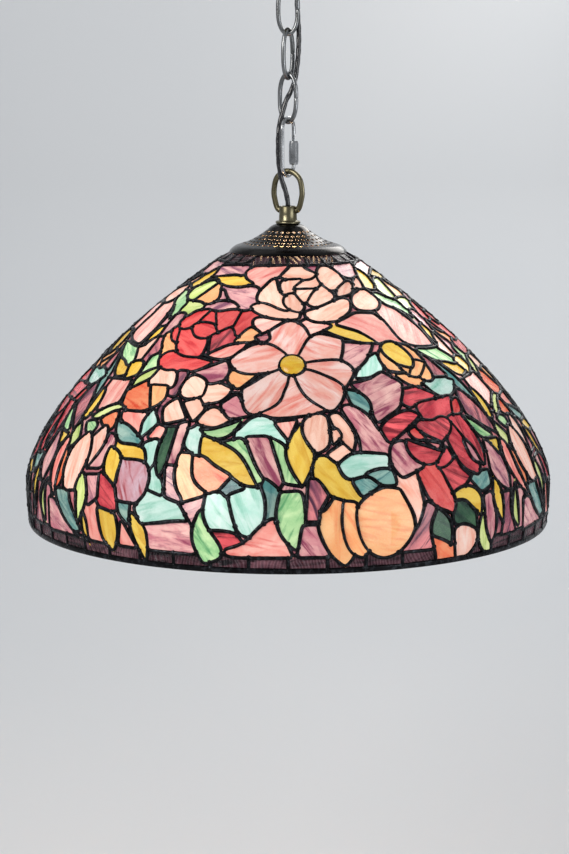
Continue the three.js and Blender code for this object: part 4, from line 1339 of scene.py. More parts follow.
@dataclass(frozen=True)
class PlainFinish:
    """Porcelain, rubber and other plain stuff, clouded and pitted a little."""

    body: Colour
    shade: Colour
    rough: tuple[float, float] = (0.3, 0.5)
    coat: float = 0.0
    light: float = 0.0
    size: float = 180.0
    relief: float = 0.06

    def make(self, name: str, effects: Effects) -> bpy.types.Material:
        """Build the material.

        Args:
            name: its name.
            effects: the shared effects.

        Returns:
            The material.
        """
        material, g, principled = shader(name)
        where = g.add("ShaderNodeTexCoord").outputs["Object"]
        patina = effect(g, effects.patina, where, Size=self.size)
        colour = g.blend(patina.outputs["Cloud"], self.shade, self.body)
        g.join(colour, principled.inputs["Base Color"])
        g.join(g.spread(patina.outputs["Height"], 0.3, 0.7, *self.rough), principled.inputs["Roughness"])
        principled.inputs["Coat Weight"].default_value = self.coat
        if self.light:
            g.join(colour, principled.inputs["Emission Color"])
            principled.inputs["Emission Strength"].default_value = self.light
        bump(g, principled, patina.outputs["Height"], 0.4, self.relief)
        return material


@dataclass(frozen=True)
class FlexFinish:
    """Two dark cores twisted inside a clear glossy sleeve, with painted shade in the groove between them and
    a painted highlight along the strands.
    """

    core: Colour
    gap: Colour
    painted_highlight: Colour
    pitch: float = 9.0

    def make(self, name: str) -> bpy.types.Material:
        """Build the material.

        Args:
            name: its name.

        Returns:
            The material.
        """
        material, g, principled = shader(name)
        where = g.add("ShaderNodeUVMap", uv_map="grain").outputs[0]
        parts = g.add("ShaderNodeSeparateXYZ")
        g.join(where, parts.inputs[0])
        turn = g.sum("MULTIPLY", parts.outputs[0], 2.0)
        run = g.sum("MULTIPLY", parts.outputs[1], 2.0 / self.pitch)
        coil = g.sum("FRACT", g.sum("ADD", turn, run))
        ridge = g.sum("SINE", g.sum("MULTIPLY", coil, math.tau))
        strands = g.sum("FRACT", g.sum("ADD", g.sum("MULTIPLY", parts.outputs[0], 14.0),
                                       g.sum("MULTIPLY", parts.outputs[1], 14.0 / self.pitch)))
        line = g.spread(strands, 0.78, 0.9)
        # Painted shade: the groove between the two cores is coloured near black.
        colour = g.blend(g.spread(ridge, -0.9, -0.2), self.gap, self.core)
        # Painted highlight: the strand lines are real, and their pale bluish colour is painted.
        g.join(g.blend(g.sum("MULTIPLY", line, 0.14), colour, self.painted_highlight), principled.inputs["Base Color"])
        principled.inputs["Coat Weight"].default_value = 1.0
        principled.inputs["Coat Roughness"].default_value = 0.06
        g.join(g.spread(ridge, -1.0, 1.0, 0.35, 0.2), principled.inputs["Roughness"])
        bump(g, principled, g.sum("ADD", ridge, g.sum("MULTIPLY", line, 0.2)), 0.3, 0.15)
        return material


class Workshop:
    """Every finish, made once."""

    def __init__(self) -> None:
        """Build all finishes."""
        effects = Effects()
        g, p = Glass, paint
        self.glass_finishes = {
            g.CREAM: GlassFinish(p(230, 155, 129), p(245, 188, 164), p(255, 212, 192), 2.0),
            g.PEACH: GlassFinish(p(241, 149, 123), p(252, 189, 165), p(255, 221, 207), 2.2),
            g.BLUSH: GlassFinish(p(229, 130, 121), p(242, 165, 154), p(253, 203, 188), 2.2),
            g.DAISY: GlassFinish(p(215, 119, 106), p(224, 160, 145), p(231, 202, 194), 2.6),
            g.SALMON: GlassFinish(p(217, 100, 95), p(240, 141, 129), p(255, 190, 176), 2.4),
            g.CORAL: GlassFinish(p(187, 32, 39), p(212, 59, 59), p(229, 99, 93), 2.4),
            g.RUBY: GlassFinish(p(121, 28, 40), p(187, 45, 61), p(244, 101, 106), 3.0, 0.34),
            g.ORANGE: GlassFinish(p(217, 73, 39), p(231, 107, 68), p(243, 158, 113), 2.6),
            g.GOLD: GlassFinish(p(209, 152, 37), p(229, 183, 60), p(242, 209, 99), 1.6),
            g.BUD: GlassFinish(p(235, 136, 89), p(244, 168, 110), p(252, 195, 138), 2.0),
            g.LIME: GlassFinish(p(151, 180, 85), p(194, 211, 118), p(224, 231, 161), 2.0),
            g.GREEN: GlassFinish(p(87, 153, 101), p(149, 200, 139), p(212, 239, 181), 2.6),
            g.FOREST: GlassFinish(p(18, 54, 41), p(37, 80, 56), p(71, 112, 79), 2.4, 0.25),
            g.TEAL: GlassFinish(p(41, 96, 103), p(77, 142, 139), p(161, 191, 178), 2.8, 0.3),
            g.MINT: GlassFinish(p(126, 190, 167), p(169, 216, 200), p(214, 233, 225), 2.0),
            g.ROSE: GlassFinish(p(147, 64, 91), p(202, 120, 132), p(247, 196, 187), 3.2, 0.34),
            g.MAUVE: GlassFinish(p(134, 74, 100), p(202, 131, 141), p(254, 196, 188), 3.2, 0.32),
            g.PLUM: GlassFinish(p(81, 42, 66), p(143, 78, 97), p(246, 148, 149), 3.0, 0.22),
            g.STRIPED: GlassFinish(p(161, 23, 35), p(201, 109, 117), p(220, 188, 200), 3.0),
            g.BORDER: GlassFinish(p(24, 16, 22), p(71, 38, 50), p(135, 91, 101), 3.0, 0.12, ripple=True),
            g.JEWEL: GlassFinish(p(171, 107, 10), p(183, 137, 23), p(195, 176, 65), 1.2, 0.5),
        }
        self.glass = {kind: made.make(f"{kind.value}_glass", effects)
                      for kind, made in self.glass_finishes.items()}
        metals = {
            # Lead: its pale silver-grey spots are partly rubbed solder and partly painted glints.
            "lead": MetalFinish(
                p(30, 30, 34), p(120, 126, 134), p(10, 10, 12), (0.28, 0.48), 0.85, 240, 0.22, 0.25),
            "pewter": MetalFinish(
                p(158, 160, 162), p(214, 218, 226), p(112, 114, 114), (0.2, 0.34), 1.0, 140, 0.2, 0.05),
            "nickel": MetalFinish(
                p(200, 202, 204), p(236, 238, 240), p(148, 150, 152), (0.16, 0.32), 1.0, 260, 0.4, 0.06),
            "steel": MetalFinish(
                p(150, 150, 150), p(200, 200, 200), p(104, 104, 106), (0.25, 0.45), 1.0, 260, 0.4, 0.08),
            "brass": MetalFinish(
                p(132, 126, 102), p(176, 168, 140), p(104, 98, 76), (0.22, 0.36), 1.0, 120, 0.25, 0.05),
            "bronze": MetalFinish(
                p(40, 38, 37), p(84, 76, 70), p(20, 19, 19), (0.16, 0.28), 0.9, 90, 0.15, 0.05),
        }
        self.metal = {name: made.make(name, effects) for name, made in metals.items()}
        self.porcelain = PlainFinish(p(232, 228, 216), p(214, 208, 194), (0.18, 0.3), 0.4).make(
            "porcelain", effects)
        self.rubber = PlainFinish(p(30, 30, 32), p(16, 16, 17), (0.45, 0.65)).make("black_rubber", effects)
        self.bulb = PlainFinish(p(255, 240, 214), p(255, 228, 190), (0.2, 0.3), 0.3, 2.2, 60).make(
            "bulb_glass", effects)
        self.flex = FlexFinish(p(10, 11, 18), p(2, 2, 3), p(60, 66, 88)).make("flex")
        self.wall = PlainFinish(p(222, 224, 226), p(214, 217, 220), (0.8, 0.95), 0, 0, 3.0, 0.3).make(
            "studio_wall", effects)


# ---- panes, lead and rim ---------------------------------------------------------------------

def from_points(name: str, points: Sequence[Vector], faces: Sequence[Sequence[int]]) -> bpy.types.Object:
    """Make a mesh object of points in millimetres and faces."""
    mesh = bpy.data.meshes.new(name)
    mesh.from_pydata([tuple(p * MM) for p in points], [], faces)
    mesh.update()
    obj = bpy.data.objects.new(name, mesh)
    bpy.context.scene.collection.objects.link(obj)
    return obj


@dataclass
class Shell:
    """Points, faces and values gathered for one mesh of panes."""

    points: list[Vector] = field(default_factory=list)
    faces: list[tuple[int, ...]] = field(default_factory=list)
    kinds: list[int] = field(default_factory=list)
    tone: list[float] = field(default_factory=list)
    glow: list[float] = field(default_factory=list)
    grain: list[tuple[float, float]] = field(default_factory=list)


@dataclass(frozen=True)
class Glazing:
    """Cuts the panes as thin flat pieces of glass, each a closed solid."""

    thick: float = 3.0
    flatten: float = 1.0
    grain_size: float = 10.0
    bulb_reach: float = 100.0
    bulb_height: float = -408.0
    bulb_turns: tuple[float, ...] = (90.0, 210.0, 330.0)
    # level scales every pane's tone; the upper border's lower level is painted shade.
    level: float = 0.97

    def glow_at(self, spot: Vector) -> float:
        """Say how brightly the bulbs light a place on the shade."""
        total = 0.0
        for turn in self.bulb_turns:
            angle = math.radians(turn)
            reach = self.bulb_reach
            bulb = Vector((reach * math.cos(angle), reach * math.sin(angle), self.bulb_height))
            total += 1.0 / ((spot - bulb).length_squared + 3600.0)
        return min(0.55 + 5200.0 * total, 1.7)

    def add_pane(self, shell: Shell, leading: Leading, piece: Piece, kind: int,
                 chance: random.Random) -> None:
        """Add one pane to a shell.

        Args:
            shell: what the pane is added to.
            leading: the arrangement it comes from.
            piece: the pane.
            kind: the number of its glass among the shell's materials.
            chance: gives its grain and tone.
        """
        slope = leading.slope
        numbers = sorted({v for face in piece.faces for v in face})
        spots = [leading.places[v] for v in numbers]
        outs = [slope.outward(*leading.turns[v]) for v in numbers]
        middle = sum(spots, Vector()) / len(spots)
        facing = sum(outs, Vector()).normalized()
        lifts = [(spot - middle).dot(facing) for spot in spots]
        reach = max(abs(lift) for lift in lifts) or 1.0
        share = min(1.0, self.flatten / reach)
        flat = [spot - facing * lift * share for spot, lift in zip(spots, lifts)]
        side = facing.orthogonal().normalized()
        other = facing.cross(side)
        spread = [((p - middle).dot(side), (p - middle).dot(other)) for p in flat]
        sxx = sum(x * x for x, _ in spread)
        syy = sum(y * y for _, y in spread)
        sxy = sum(x * y for x, y in spread)
        lie = 0.5 * math.atan2(2 * sxy, sxx - syy) + chance.gauss(0, 0.35)
        cos, sin = math.cos(lie), math.sin(lie)
        shift = (chance.uniform(0, 900), chance.uniform(0, 900))
        tone = self.level * min(max(chance.gauss(1.0, 0.075), 0.8), 1.15)
        size = self.grain_size
        base = len(shell.points)
        for depth in (0.0, self.thick):
            for p, out, (x, y) in zip(flat, outs, spread):
                shell.points.append(p - out * depth)
                shell.grain.append(((x * cos + y * sin) / size + shift[0],
                                    (y * cos - x * sin) / size + shift[1]))
                shell.tone.append(tone)
                shell.glow.append(self.glow_at(p))
        index = {v: base + i for i, v in enumerate(numbers)}
        count = len(numbers)
        edges: set[tuple[int, int]] = set()
        for a, b, c in piece.faces:
            shell.faces.append((index[c], index[b], index[a]))
            shell.faces.append((index[a] + count, index[b] + count, index[c] + count))
            edges.update(((a, b), (b, c), (c, a)))
        for a, b in sorted(edges):
            if (b, a) not in edges:
                shell.faces.append((index[a], index[b], index[b] + count, index[a] + count))
        shell.kinds += [kind] * (len(shell.faces) - len(shell.kinds))

    def build(self, name: str, leading: Leading, pieces: Sequence[Piece], workshop: Workshop,
              seed: int) -> bpy.types.Object:
        """Make one object of many panes.

        Args:
            name: the object's name.
            leading: the arrangement they come from.
            pieces: the panes.
            workshop: holds the finishes.
            seed: starts the random tones and grain.

        Returns:
            The object, with a material for each kind of glass.
        """
        chance = random.Random(seed)
        kinds = sorted({piece.glass.value for piece in pieces})
        shell = Shell()
        for piece in pieces:
            self.add_pane(shell, leading, piece, kinds.index(piece.glass.value), chance)
        obj = from_points(name, shell.points, shell.faces)
        mesh = obj.data
        for kind in kinds:
            mesh.materials.append(workshop.glass[Glass(kind)])
        mesh.polygons.foreach_set("material_index", shell.kinds)
        for key, values in (("tone", shell.tone), ("glow", shell.glow)):
            mesh.attributes.new(key, "FLOAT", "POINT").data.foreach_set("value", values)
        uv = mesh.uv_layers.new(name="grain")
        corners = [0] * len(mesh.loops)
        mesh.loops.foreach_get("vertex_index", corners)
        uv.data.foreach_set("uv", [number for corner in corners for number in shell.grain[corner]])
        pick_only(obj)
        bpy.ops.object.shade_smooth_by_angle(angle=math.radians(30))
        return obj


@dataclass(frozen=True)
class Came:
    """Lays rounded lead along every line between panes, and solders the joints."""

    half: float = 2.05
    fine_half: float = 1.65
    crown: float = 1.65
    back: float = 4.0
    nearest: float = 1.7
    sides: int = 8
    fine: frozenset[Glass] = frozenset((Glass.CREAM, Glass.CORAL, Glass.RUBY, Glass.DAISY, Glass.BUD))

    def section(self, half: float, crown: float) -> list[tuple[float, float]]:
        """Give the lead's section as (sideways, lift) points."""
        return [(-half, -1.2), (-0.74 * half, 0.55 * crown), (-0.28 * half, crown), (0.28 * half, crown),
                (0.74 * half, 0.55 * crown), (half, -1.2), (0.6 * half, -self.back),
                (-0.6 * half, -self.back)]

    def smoothed(self, leading: Leading, chain: list[int]) -> list[tuple[float, float]]:
        """Smooth a line's (turn, slant) points and drop those too close together.

        Args:
            leading: the arrangement.
            chain: the line's point numbers.

        Returns:
            Its points, with the two ends kept.
        """
        turns = [leading.turns[v] for v in chain]
        for i in range(1, len(turns)):
            ahead = turns[i][0] - turns[i - 1][0]
            turns[i] = (turns[i][0] - 360 * round(ahead / 360), turns[i][1])
        for _ in range(2):
            turns = [turns[0]] + [tuple(0.25 * a[k] + 0.5 * b[k] + 0.25 * c[k] for k in (0, 1))
                                  for a, b, c in zip(turns, turns[1:], turns[2:])] + [turns[-1]]
        kept = [turns[0]]
        for turn in turns[1:-1]:
            gap = (leading.slope.place(*turn) - leading.slope.place(*kept[-1])).length
            left = (leading.slope.place(*turn) - leading.slope.place(*turns[-1])).length
            if gap > self.nearest and left > self.nearest:
                kept.append(turn)
        return kept + [turns[-1]]

    def add_line(self, slope: Slope, turns: list[tuple[float, float]], half: float,
                 points: list[Vector], faces: list[tuple[int, ...]], chance: random.Random) -> None:
        """Add one line of lead.

        Args:
            slope: finds places on the dome.
            turns: the line's points.
            half: half its width.
            points: the mesh's points so far.
            faces: the mesh's faces so far.
            chance: makes its width uneven.
        """
        spots = [slope.place(*turn) for turn in turns]
        base, count = len(points), self.sides
        last = len(spots) - 1
        for i, (spot, turn) in enumerate(zip(spots, turns)):
            out = slope.outward(*turn)
            along = (spots[min(i + 1, last)] - spots[max(i - 1, 0)]).normalized()
            across = out.cross(along).normalized()
            under = min(max((turn[1] - 3.0) / 4.0, 0.0), 1.0)
            crown = -0.3 + (self.crown + 0.3) * under * chance.uniform(0.9, 1.05)
            wide = half * chance.uniform(0.93, 1.07)
            for sideways, lift in self.section(wide, crown):
                points.append(spot + across * sideways + out * lift)
            if i:
                for k in range(count):
                    a, b = base + (i - 1) * count + k, base + (i - 1) * count + (k + 1) % count
                    faces.append((a, b, b + count, a + count))
        faces.append(tuple(base + k for k in reversed(range(count))))
        faces.append(tuple(base + last * count + k for k in range(count)))

    def add_joint(self, slope: Slope, turn: tuple[float, float], points: list[Vector],
                  faces: list[tuple[int, ...]], chance: random.Random) -> None:
        """Add one low blob of solder.

        Args:
            slope: finds places on the dome.
            turn: where it is.
            points: the mesh's points so far.
            faces: the mesh's faces so far.
            chance: makes it uneven.
        """
        spot, out = slope.place(*turn), slope.outward(*turn)
        side = out.orthogonal().normalized()
        other = out.cross(side)
        size = chance.uniform(2.4, 3.1)
        base = len(points)
        for reach, lift in ((1.0, -0.9), (0.86, 0.8), (0.45, 1.85)):
            for k in range(8):
                angle = math.tau * k / 8
                step = side * math.cos(angle) + other * math.sin(angle)
                points.append(spot + step * reach * size * chance.uniform(0.92, 1.08) + out * lift)
        points.append(spot + out * 2.1)
        for ring in (0, 8):
            for k in range(8):
                a, b = base + ring + k, base + ring + (k + 1) % 8
                faces.append((a, b, b + 8, a + 8))
        for k in range(8):
            faces.append((base + 16 + k, base + 16 + (k + 1) % 8, base + 24))
        faces.append(tuple(base + k for k in reversed(range(8))))

    def build(self, leading: Leading, seed: int) -> list[bpy.types.Object]:
        """Lay all the lead, as one object for each third of the shade.

        Args:
            leading: the arrangement.
            seed: starts the random unevenness.

        Returns:
            The three objects.
        """
        chance = random.Random(seed)
        slope = leading.slope
        parts: list[tuple[list[Vector], list[tuple[int, ...]]]] = [([], []) for _ in range(3)]
        for chain in leading.chains():
            if max(leading.turns[v][1] for v in chain) < 0.5:
                continue
            pair = (min(chain[:2]), max(chain[:2]))
            thin = all(kind in self.fine for kind in leading.beside[pair])
            half = self.fine_half if thin else self.half
            points, faces = parts[leading.third_of(chain)]
            self.add_line(slope, self.smoothed(leading, chain), half, points, faces, chance)
        for joint in leading.joints:
            if leading.turns[joint][1] > 8:
                points, faces = parts[leading.third_of([joint])]
                self.add_joint(slope, leading.turns[joint], points, faces, chance)
        made = []
        for number, (points, faces) in enumerate(parts, start=1):
            obj = from_points(f"lead_came_{number}", points, faces)
            pick_only(obj)
            bpy.ops.object.shade_smooth_by_angle(angle=math.radians(60))
            made.append(obj)
        return made


@dataclass(frozen=True)
class Shade:
    """The leaded-glass shade: panes, lead, jewels, rim and top ring."""

    body: str = "lamp_head"
    jewel_turn: float = 1.3
    jewel_slant: float = 143.6
    jewel_radius: float = 11.2
    # painted shade: how far the upper border's glass is darkened
    upper_painted_shade: float = 0.45

    def build(self, workshop: Workshop) -> None:
        """Build and dress every piece of the shade.

        Args:
            workshop: holds the finishes.
        """
        rim_z = node_span("rim_wire")[0].z
        slope = Slope(Dome(rim_z=rim_z))
        leading = Leading(slope)
        glazing = Glazing()
        fields: list[list[Piece]] = [[], [], []]
        upper: list[Piece] = []
        lower: list[Piece] = []
        for piece in leading.pieces.values():
            numbers = [v for face in piece.faces for v in face]
            if piece.glass is Glass.JEWEL:
                continue
            if piece.glass is Glass.BORDER:
                slant = sum(leading.turns[v][1] for v in numbers) / len(numbers)
                (upper if slant < slope.length / 2 else lower).append(piece)
            else:
                fields[leading.third_of(numbers)].append(piece)
        for number, pieces in enumerate(fields, start=1):
            obj = glazing.build(f"field_glass_{number}", leading, pieces, workshop, number)
            dress(obj, None, "field_glass", self.body, f"shade_section_{number}")
        # Painted shade: the upper border is the same glass as the lower one, darkened to this share of its
        # tone.
        borders = (("upper", upper, self.upper_painted_shade), ("lower", lower, 1.0))
        for number, (name, pieces, level) in enumerate(borders, start=4):
            obj = Glazing(level=level).build(f"{name}_border_glass", leading, pieces, workshop, number)
            dress(obj, None, "border_glass", self.body, f"{name}_border_band")
        for obj in Came().build(leading, 7):
            dress(obj, workshop.metal["lead"], "lead_came", self.body)
        self._rim(workshop, slope)
        self._jewels(workshop, slope)

    def _rim(self, workshop: Workshop, slope: Slope) -> None:
        """Make the lead channel and the wire round the rim, and the ring at the top."""
        low, high = node_span("rim_wire")
        ring = turned("rim_channel", [
            (slope.at(s)[0] + slope.at(s)[2] * lift, slope.at(s)[1] + slope.at(s)[3] * lift)
            for s, lift in ((340.6, 0.2), (341.2, 1.4), (343.4, 1.9), (345.6, 1.2), (slope.length, 0.0),
                            (slope.length, -3.2), (345.0, -4.3), (341.4, -4.3))], 240)
        soften(ring)
        dress(ring, workshop.metal["lead"], "lead_came", self.body)
        bpy.ops.object.select_all(action="DESELECT")
        thick = (high.z - low.z) / 2
        bpy.ops.mesh.primitive_torus_add(
            major_radius=(high.x - thick) * MM, minor_radius=thick * MM, major_segments=240,
            minor_segments=14, location=(0, 0, (low.z + high.z) / 2 * MM))
        rim = new_piece("rim_wire_round")
        bpy.ops.object.shade_smooth()
        dress(rim, workshop.metal["lead"], "lead_came", self.body, "rim_wire")
        top = node_span("shade_top_ring")
        inner = top[1].x - 3.0
        ring = turned("shade_top_hoop", [(top[1].x, top[0].z), (top[1].x, top[1].z), (inner, top[1].z),
                                         (inner, top[0].z)], 96)
        soften(ring, 0.4)
        dress(ring, workshop.metal["brass"], "antique_brass", self.body, "shade_top_ring")

    def _jewels(self, workshop: Workshop, slope: Slope) -> None:
        """Make the pressed amber jewel at the heart of each daisy."""
        r = self.jewel_radius
        outline = [(0, -2.5), (r, -2.5), (r, 0.2), (r * 0.96, 1.1), (r * 0.86, 2.1), (r * 0.7, 3.0),
                   (r * 0.5, 3.8), (r * 0.25, 4.3), (0, 4.45)]
        for number in range(3):
            obj = turned(f"jewel_{number + 1}", outline, 48)
            turn = self.jewel_turn + 120 * number
            out = slope.outward(turn, self.jewel_slant)
            spin = out.to_track_quat("Z", "Y").to_matrix().to_4x4()
            place(obj, Matrix.Translation(slope.place(turn, self.jewel_slant) * MM) @ spin)
            bpy.ops.object.shade_smooth_by_angle(angle=math.radians(50))
            self._grain(obj, number)
            dress(obj, workshop.glass[Glass.JEWEL], "jewel_glass", self.body, f"flower_jewel_{number + 1}")

    @staticmethod
    def _grain(obj: bpy.types.Object, number: int) -> None:
        """Give a jewel the same values that panes carry."""
        mesh = obj.data
        for layer in list(mesh.uv_layers):
            mesh.uv_layers.remove(layer)
        uv = mesh.uv_layers.new(name="grain")
        for loop in mesh.loops:
            spot = mesh.vertices[loop.vertex_index].co / MM
            uv.data[loop.index].uv = (spot.x / 10 + 31 * number, spot.z / 10)
        for key, value in (("tone", 1.0), ("glow", 1.25)):
            layer = mesh.attributes.new(key, "FLOAT", "POINT")
            layer.data.foreach_set("value", [value] * len(mesh.vertices))


# ---- chain, collar and cap -------------------------------------------------------------------

def threaded(name: str, radius: float, bottom: float, top: float, bore: float = 0.0,
             pitch: float = 1.0, sides: int = 24) -> bpy.types.Object:
    """Make a threaded rod or tube about Z.

    Args:
        name: the piece's name.
        radius: outer radius over the thread.
        bottom: height of its lower end.
        top: height of its upper end.
        bore: radius of its hole; solid when it is 0.
        pitch: the thread's pitch.
        sides: faces around.

    Returns:
        The object.
    """
    root = radius - 0.45 * pitch
    count = max(1, int((top - bottom - 0.6) / pitch))
    step = (top - bottom - 0.6) / count
    side = [(root, bottom)]
    for i in range(count):
        z = bottom + 0.3 + i * step
        side += [(radius, z + step * 0.42), (radius, z + step * 0.58), (root, z + step)]
    side.append((root, top))
    ends = [(bore, top), (bore, bottom)] if bore else [(0, top)]
    obj = turned(name, (side if bore else [(0, bottom)] + side) + ends, sides)
    bpy.ops.object.shade_smooth_by_angle(angle=math.radians(25))
    return obj


def join(name: str, *parts: bpy.types.Object) -> bpy.types.Object:
    """Join meshes into the first one and name it.

    Args:
        name: the joined piece's name.
        parts: the meshes.

    Returns:
        The object.
    """
    bpy.ops.object.select_all(action="DESELECT")
    for part in parts:
        part.select_set(True)
    bpy.context.view_layer.objects.active = parts[0]
    bpy.ops.object.join()
    obj = bpy.context.active_object
    obj.name = obj.data.name = name
    return obj


def cut_away(obj: bpy.types.Object, tool: bpy.types.Object) -> None:
    """Cut one mesh out of another and delete the cutting mesh."""
    pick_only(obj)
    cut = obj.modifiers.new("cut", "BOOLEAN")
    cut.operation = "DIFFERENCE"
    cut.solver = "EXACT"
    cut.object = tool
    bpy.ops.object.modifier_apply(modifier=cut.name)
    bpy.data.objects.remove(tool)


def peg(radius: float, length: float, spot: Sequence[float], facing: Vector = Vector((0, 0, 1)),
        sides: int = 24) -> bpy.types.Object:
    """Make a plain round peg, centred at a place and lying along a direction."""
    bpy.ops.object.select_all(action="DESELECT")
    bpy.ops.mesh.primitive_cylinder_add(vertices=sides, radius=radius * MM, depth=length * MM,
                                        location=tuple(s * MM for s in spot),
                                        rotation=facing.to_track_quat("Z", "Y").to_euler())
    return new_piece("peg")


@dataclass(frozen=True)
class Link:
    """One oval chain link of round wire with an open seam on one side."""

    number: int
    turn: float
    wire: float = 4.3
    seam: float = 0.55
    bow: float = 0.75

    def build(self, workshop: Workshop) -> None:
        """Build the link in its solid's place.

        Args:
            workshop: holds the finishes.
        """
        node = f"chain_link_{self.number}"
        low, high = node_span(node)
        across = 23.0 / 2 - self.wire / 2
        reach = (high.z - low.z) / 2 - self.wire / 2
        bpy.ops.object.select_all(action="DESELECT")
        bpy.ops.mesh.primitive_torus_add(major_radius=across * MM, minor_radius=self.wire / 2 * MM,
                                         major_segments=64, minor_segments=18,
                                         rotation=(math.radians(90), 0, 0))
        link = new_piece(f"link_{self.number}_wire")
        self._stretch(link, across, reach)
        with editing(link):
            pick(link, lambda co: abs(co.z) < 1e-5 and co.x > 0)
            bpy.ops.mesh.bevel(offset=self.seam * MM, segments=4, affect="EDGES")
            pick(link, lambda co: abs(co.z) < self.seam * 0.3 * MM and co.x > 0)
            bpy.ops.transform.resize(value=(0.72, 0.72, 1), center_override=(across * MM, 0, 0))
            pick(link, lambda co: self.seam * 0.3 * MM < abs(co.z) < self.seam * 0.8 * MM and co.x > 0)
            bpy.ops.transform.resize(value=(0.95, 0.95, 1), center_override=(across * MM, 0, 0))
        place(link, Matrix.Translation(Vector((0, 0, (low.z + high.z) / 2)) * MM)
              @ Matrix.Rotation(math.radians(self.turn), 4, "Z"))
        bpy.ops.object.shade_smooth_by_angle(angle=math.radians(50))
        dress(link, workshop.metal["pewter"], "pewter", f"link_{self.number}", node)

    def _stretch(self, link: bpy.types.Object, across: float, reach: float) -> None:
        """Draw the round ring out into an oval whose sides bow a little.

        Args:
            link: the ring, upright in the XZ plane.
            across: half its width, to the wire's middle.
            reach: half its length when done, to the wire's middle.
        """
        straight = reach - across
        for v in link.data.vertices:
            turn = math.atan2(v.co.z, v.co.x)
            round_end = Vector((across * math.cos(turn), 0, across * math.sin(turn)))
            rise = straight * (math.tanh(4.5 * math.sin(turn)) * (1 - self.bow) + math.sin(turn) * self.bow)
            middle = round_end + Vector((0, 0, rise))
            facing = Vector((math.cos(turn), 0, math.sin(turn) * 0.62)).normalized()
            out = Vector((math.cos(turn), 0, math.sin(turn)))
            section = v.co / MM - round_end
            lift = section.dot(out)
            facing = facing.lerp(out, abs(math.sin(turn)) ** 2).normalized()
            v.co = (middle + facing * lift + Vector((0, section.y, 0))) * MM


@dataclass(frozen=True)
class QuickLink:
    """A bent rod whose gap is closed by a threaded hexagonal sleeve."""

    turn: float = 60.0
    rod: float = 3.6
    bend: float = 10.9
    top: float = -170.7
    bottom: float = -226.0
    gap_bottom: float = 14.9
    gap_top: float = 25.4
    sleeve_across: float = 8.0

    def build(self, workshop: Workshop) -> None:
        """Build the rod and its sleeve.

        Args:
            workshop: holds the finishes.
        """
        spin = Matrix.Rotation(math.radians(self.turn), 4, "Z")
        path = [Vector((self.bend, 0, self.bottom + self.gap_top))]
        for middle, start in ((self.top - self.bend, 0), (self.bottom + self.bend, 180)):
            for i in range(25):
                angle = math.radians(start + 180 * i / 24)
                path.append(Vector((self.bend * math.cos(angle), 0, middle + self.bend * math.sin(angle))))
        path.append(Vector((self.bend, 0, self.bottom + self.gap_bottom)))
        rod = wire("quick_link_rod", [p * MM for p in path], self.rod)
        screw = threaded("screw_end", self.rod / 2 + 0.25, self.bottom + self.gap_top + 0.05,
                         self.bottom + self.gap_top + 14.0, pitch=0.8)
        stub = threaded("stub_end", self.rod / 2 + 0.25, self.bottom + self.gap_bottom - 3.6,
                        self.bottom + self.gap_bottom - 0.05, pitch=0.8)
        for part in (screw, stub):
            place(part, Matrix.Translation(Vector((self.bend, 0, 0)) * MM))
        rod = join("quick_link_rod", rod, screw, stub)
        place(rod, spin)
        dress(rod, workshop.metal["nickel"], "nickel", "quick_link", "quick_link_body")
        low, high = node_span("quick_link_sleeve")
        sleeve = hexagon_nut("quick_link_nut", self.sleeve_across, self.rod / 2 + 0.3, low.z, high.z)
        place(sleeve, spin @ Matrix.Translation(Vector((self.bend, 0, 0)) * MM))
        dress(sleeve, workshop.metal["nickel"], "nickel", "sleeve", "quick_link_sleeve")


@dataclass(frozen=True)
class Ring:
    """The bail: bent wire whose two ends turn in the sides of the collar."""

    turn: float = -25.0
    wire: float = 5.6
    pivot: float = -258.9
    side: Outline = ((4.3, 0), (9.2, 0.1), (11.8, 3), (13.7, 9.35), (14.9, 17.6), (12.7, 29.2), (7.0, 35.5))
    flat: float = 0.75

    def build(self, workshop: Workshop) -> None:
        """Build the ring.

        Args:
            workshop: holds the finishes.
        """
        points = list(self.side) + [(0, 37.55)] + [(-x, z) for x, z in reversed(self.side)]
        path = [Vector((x, 0, z + self.pivot)) * MM for x, z in through(points, 6)]
        ring = wire("bail", path, self.wire)
        with editing(ring):
            bpy.ops.transform.resize(value=(1, self.flat, 1), center_override=(0, 0, 0))
        place(ring, Matrix.Rotation(math.radians(self.turn), 4, "Z"))
        dress(ring, workshop.metal["brass"], "antique_brass", "ring", "bail_ring")


@dataclass(frozen=True)
class Collar:
    """The turned collar with a bead at its foot and a hole each side for the ring."""

    turn: float = -25.0
    pivot: float = -258.9
    hole: float = 2.9
    outline: Outline = ((5.2, -271.5), (11.0, -271.5), (11.8, -271.1), (12.1, -270.2), (11.8, -269.3),
                        (11.0, -268.9), (9.2, -268.6), (8.7, -268.0), (8.5, -262), (8.4, -255.4),
                        (8.0, -254.8), (6.8, -254.8),
                        (6.4, -255.2), (6.2, -264.5), (5.2, -264.5))

    def build(self, workshop: Workshop) -> None:
        """Build the collar.

        Args:
            workshop: holds the finishes.
        """
        collar = turned("turned_collar", self.outline, 48)
        along = Vector((math.cos(math.radians(self.turn)), math.sin(math.radians(self.turn)), 0))
        cut_away(collar, peg(self.hole, 40, (0, 0, self.pivot), along))
        soften(collar, 0.15, 40)
        dress(collar, workshop.metal["brass"], "antique_brass", "lamp_head", "collar")


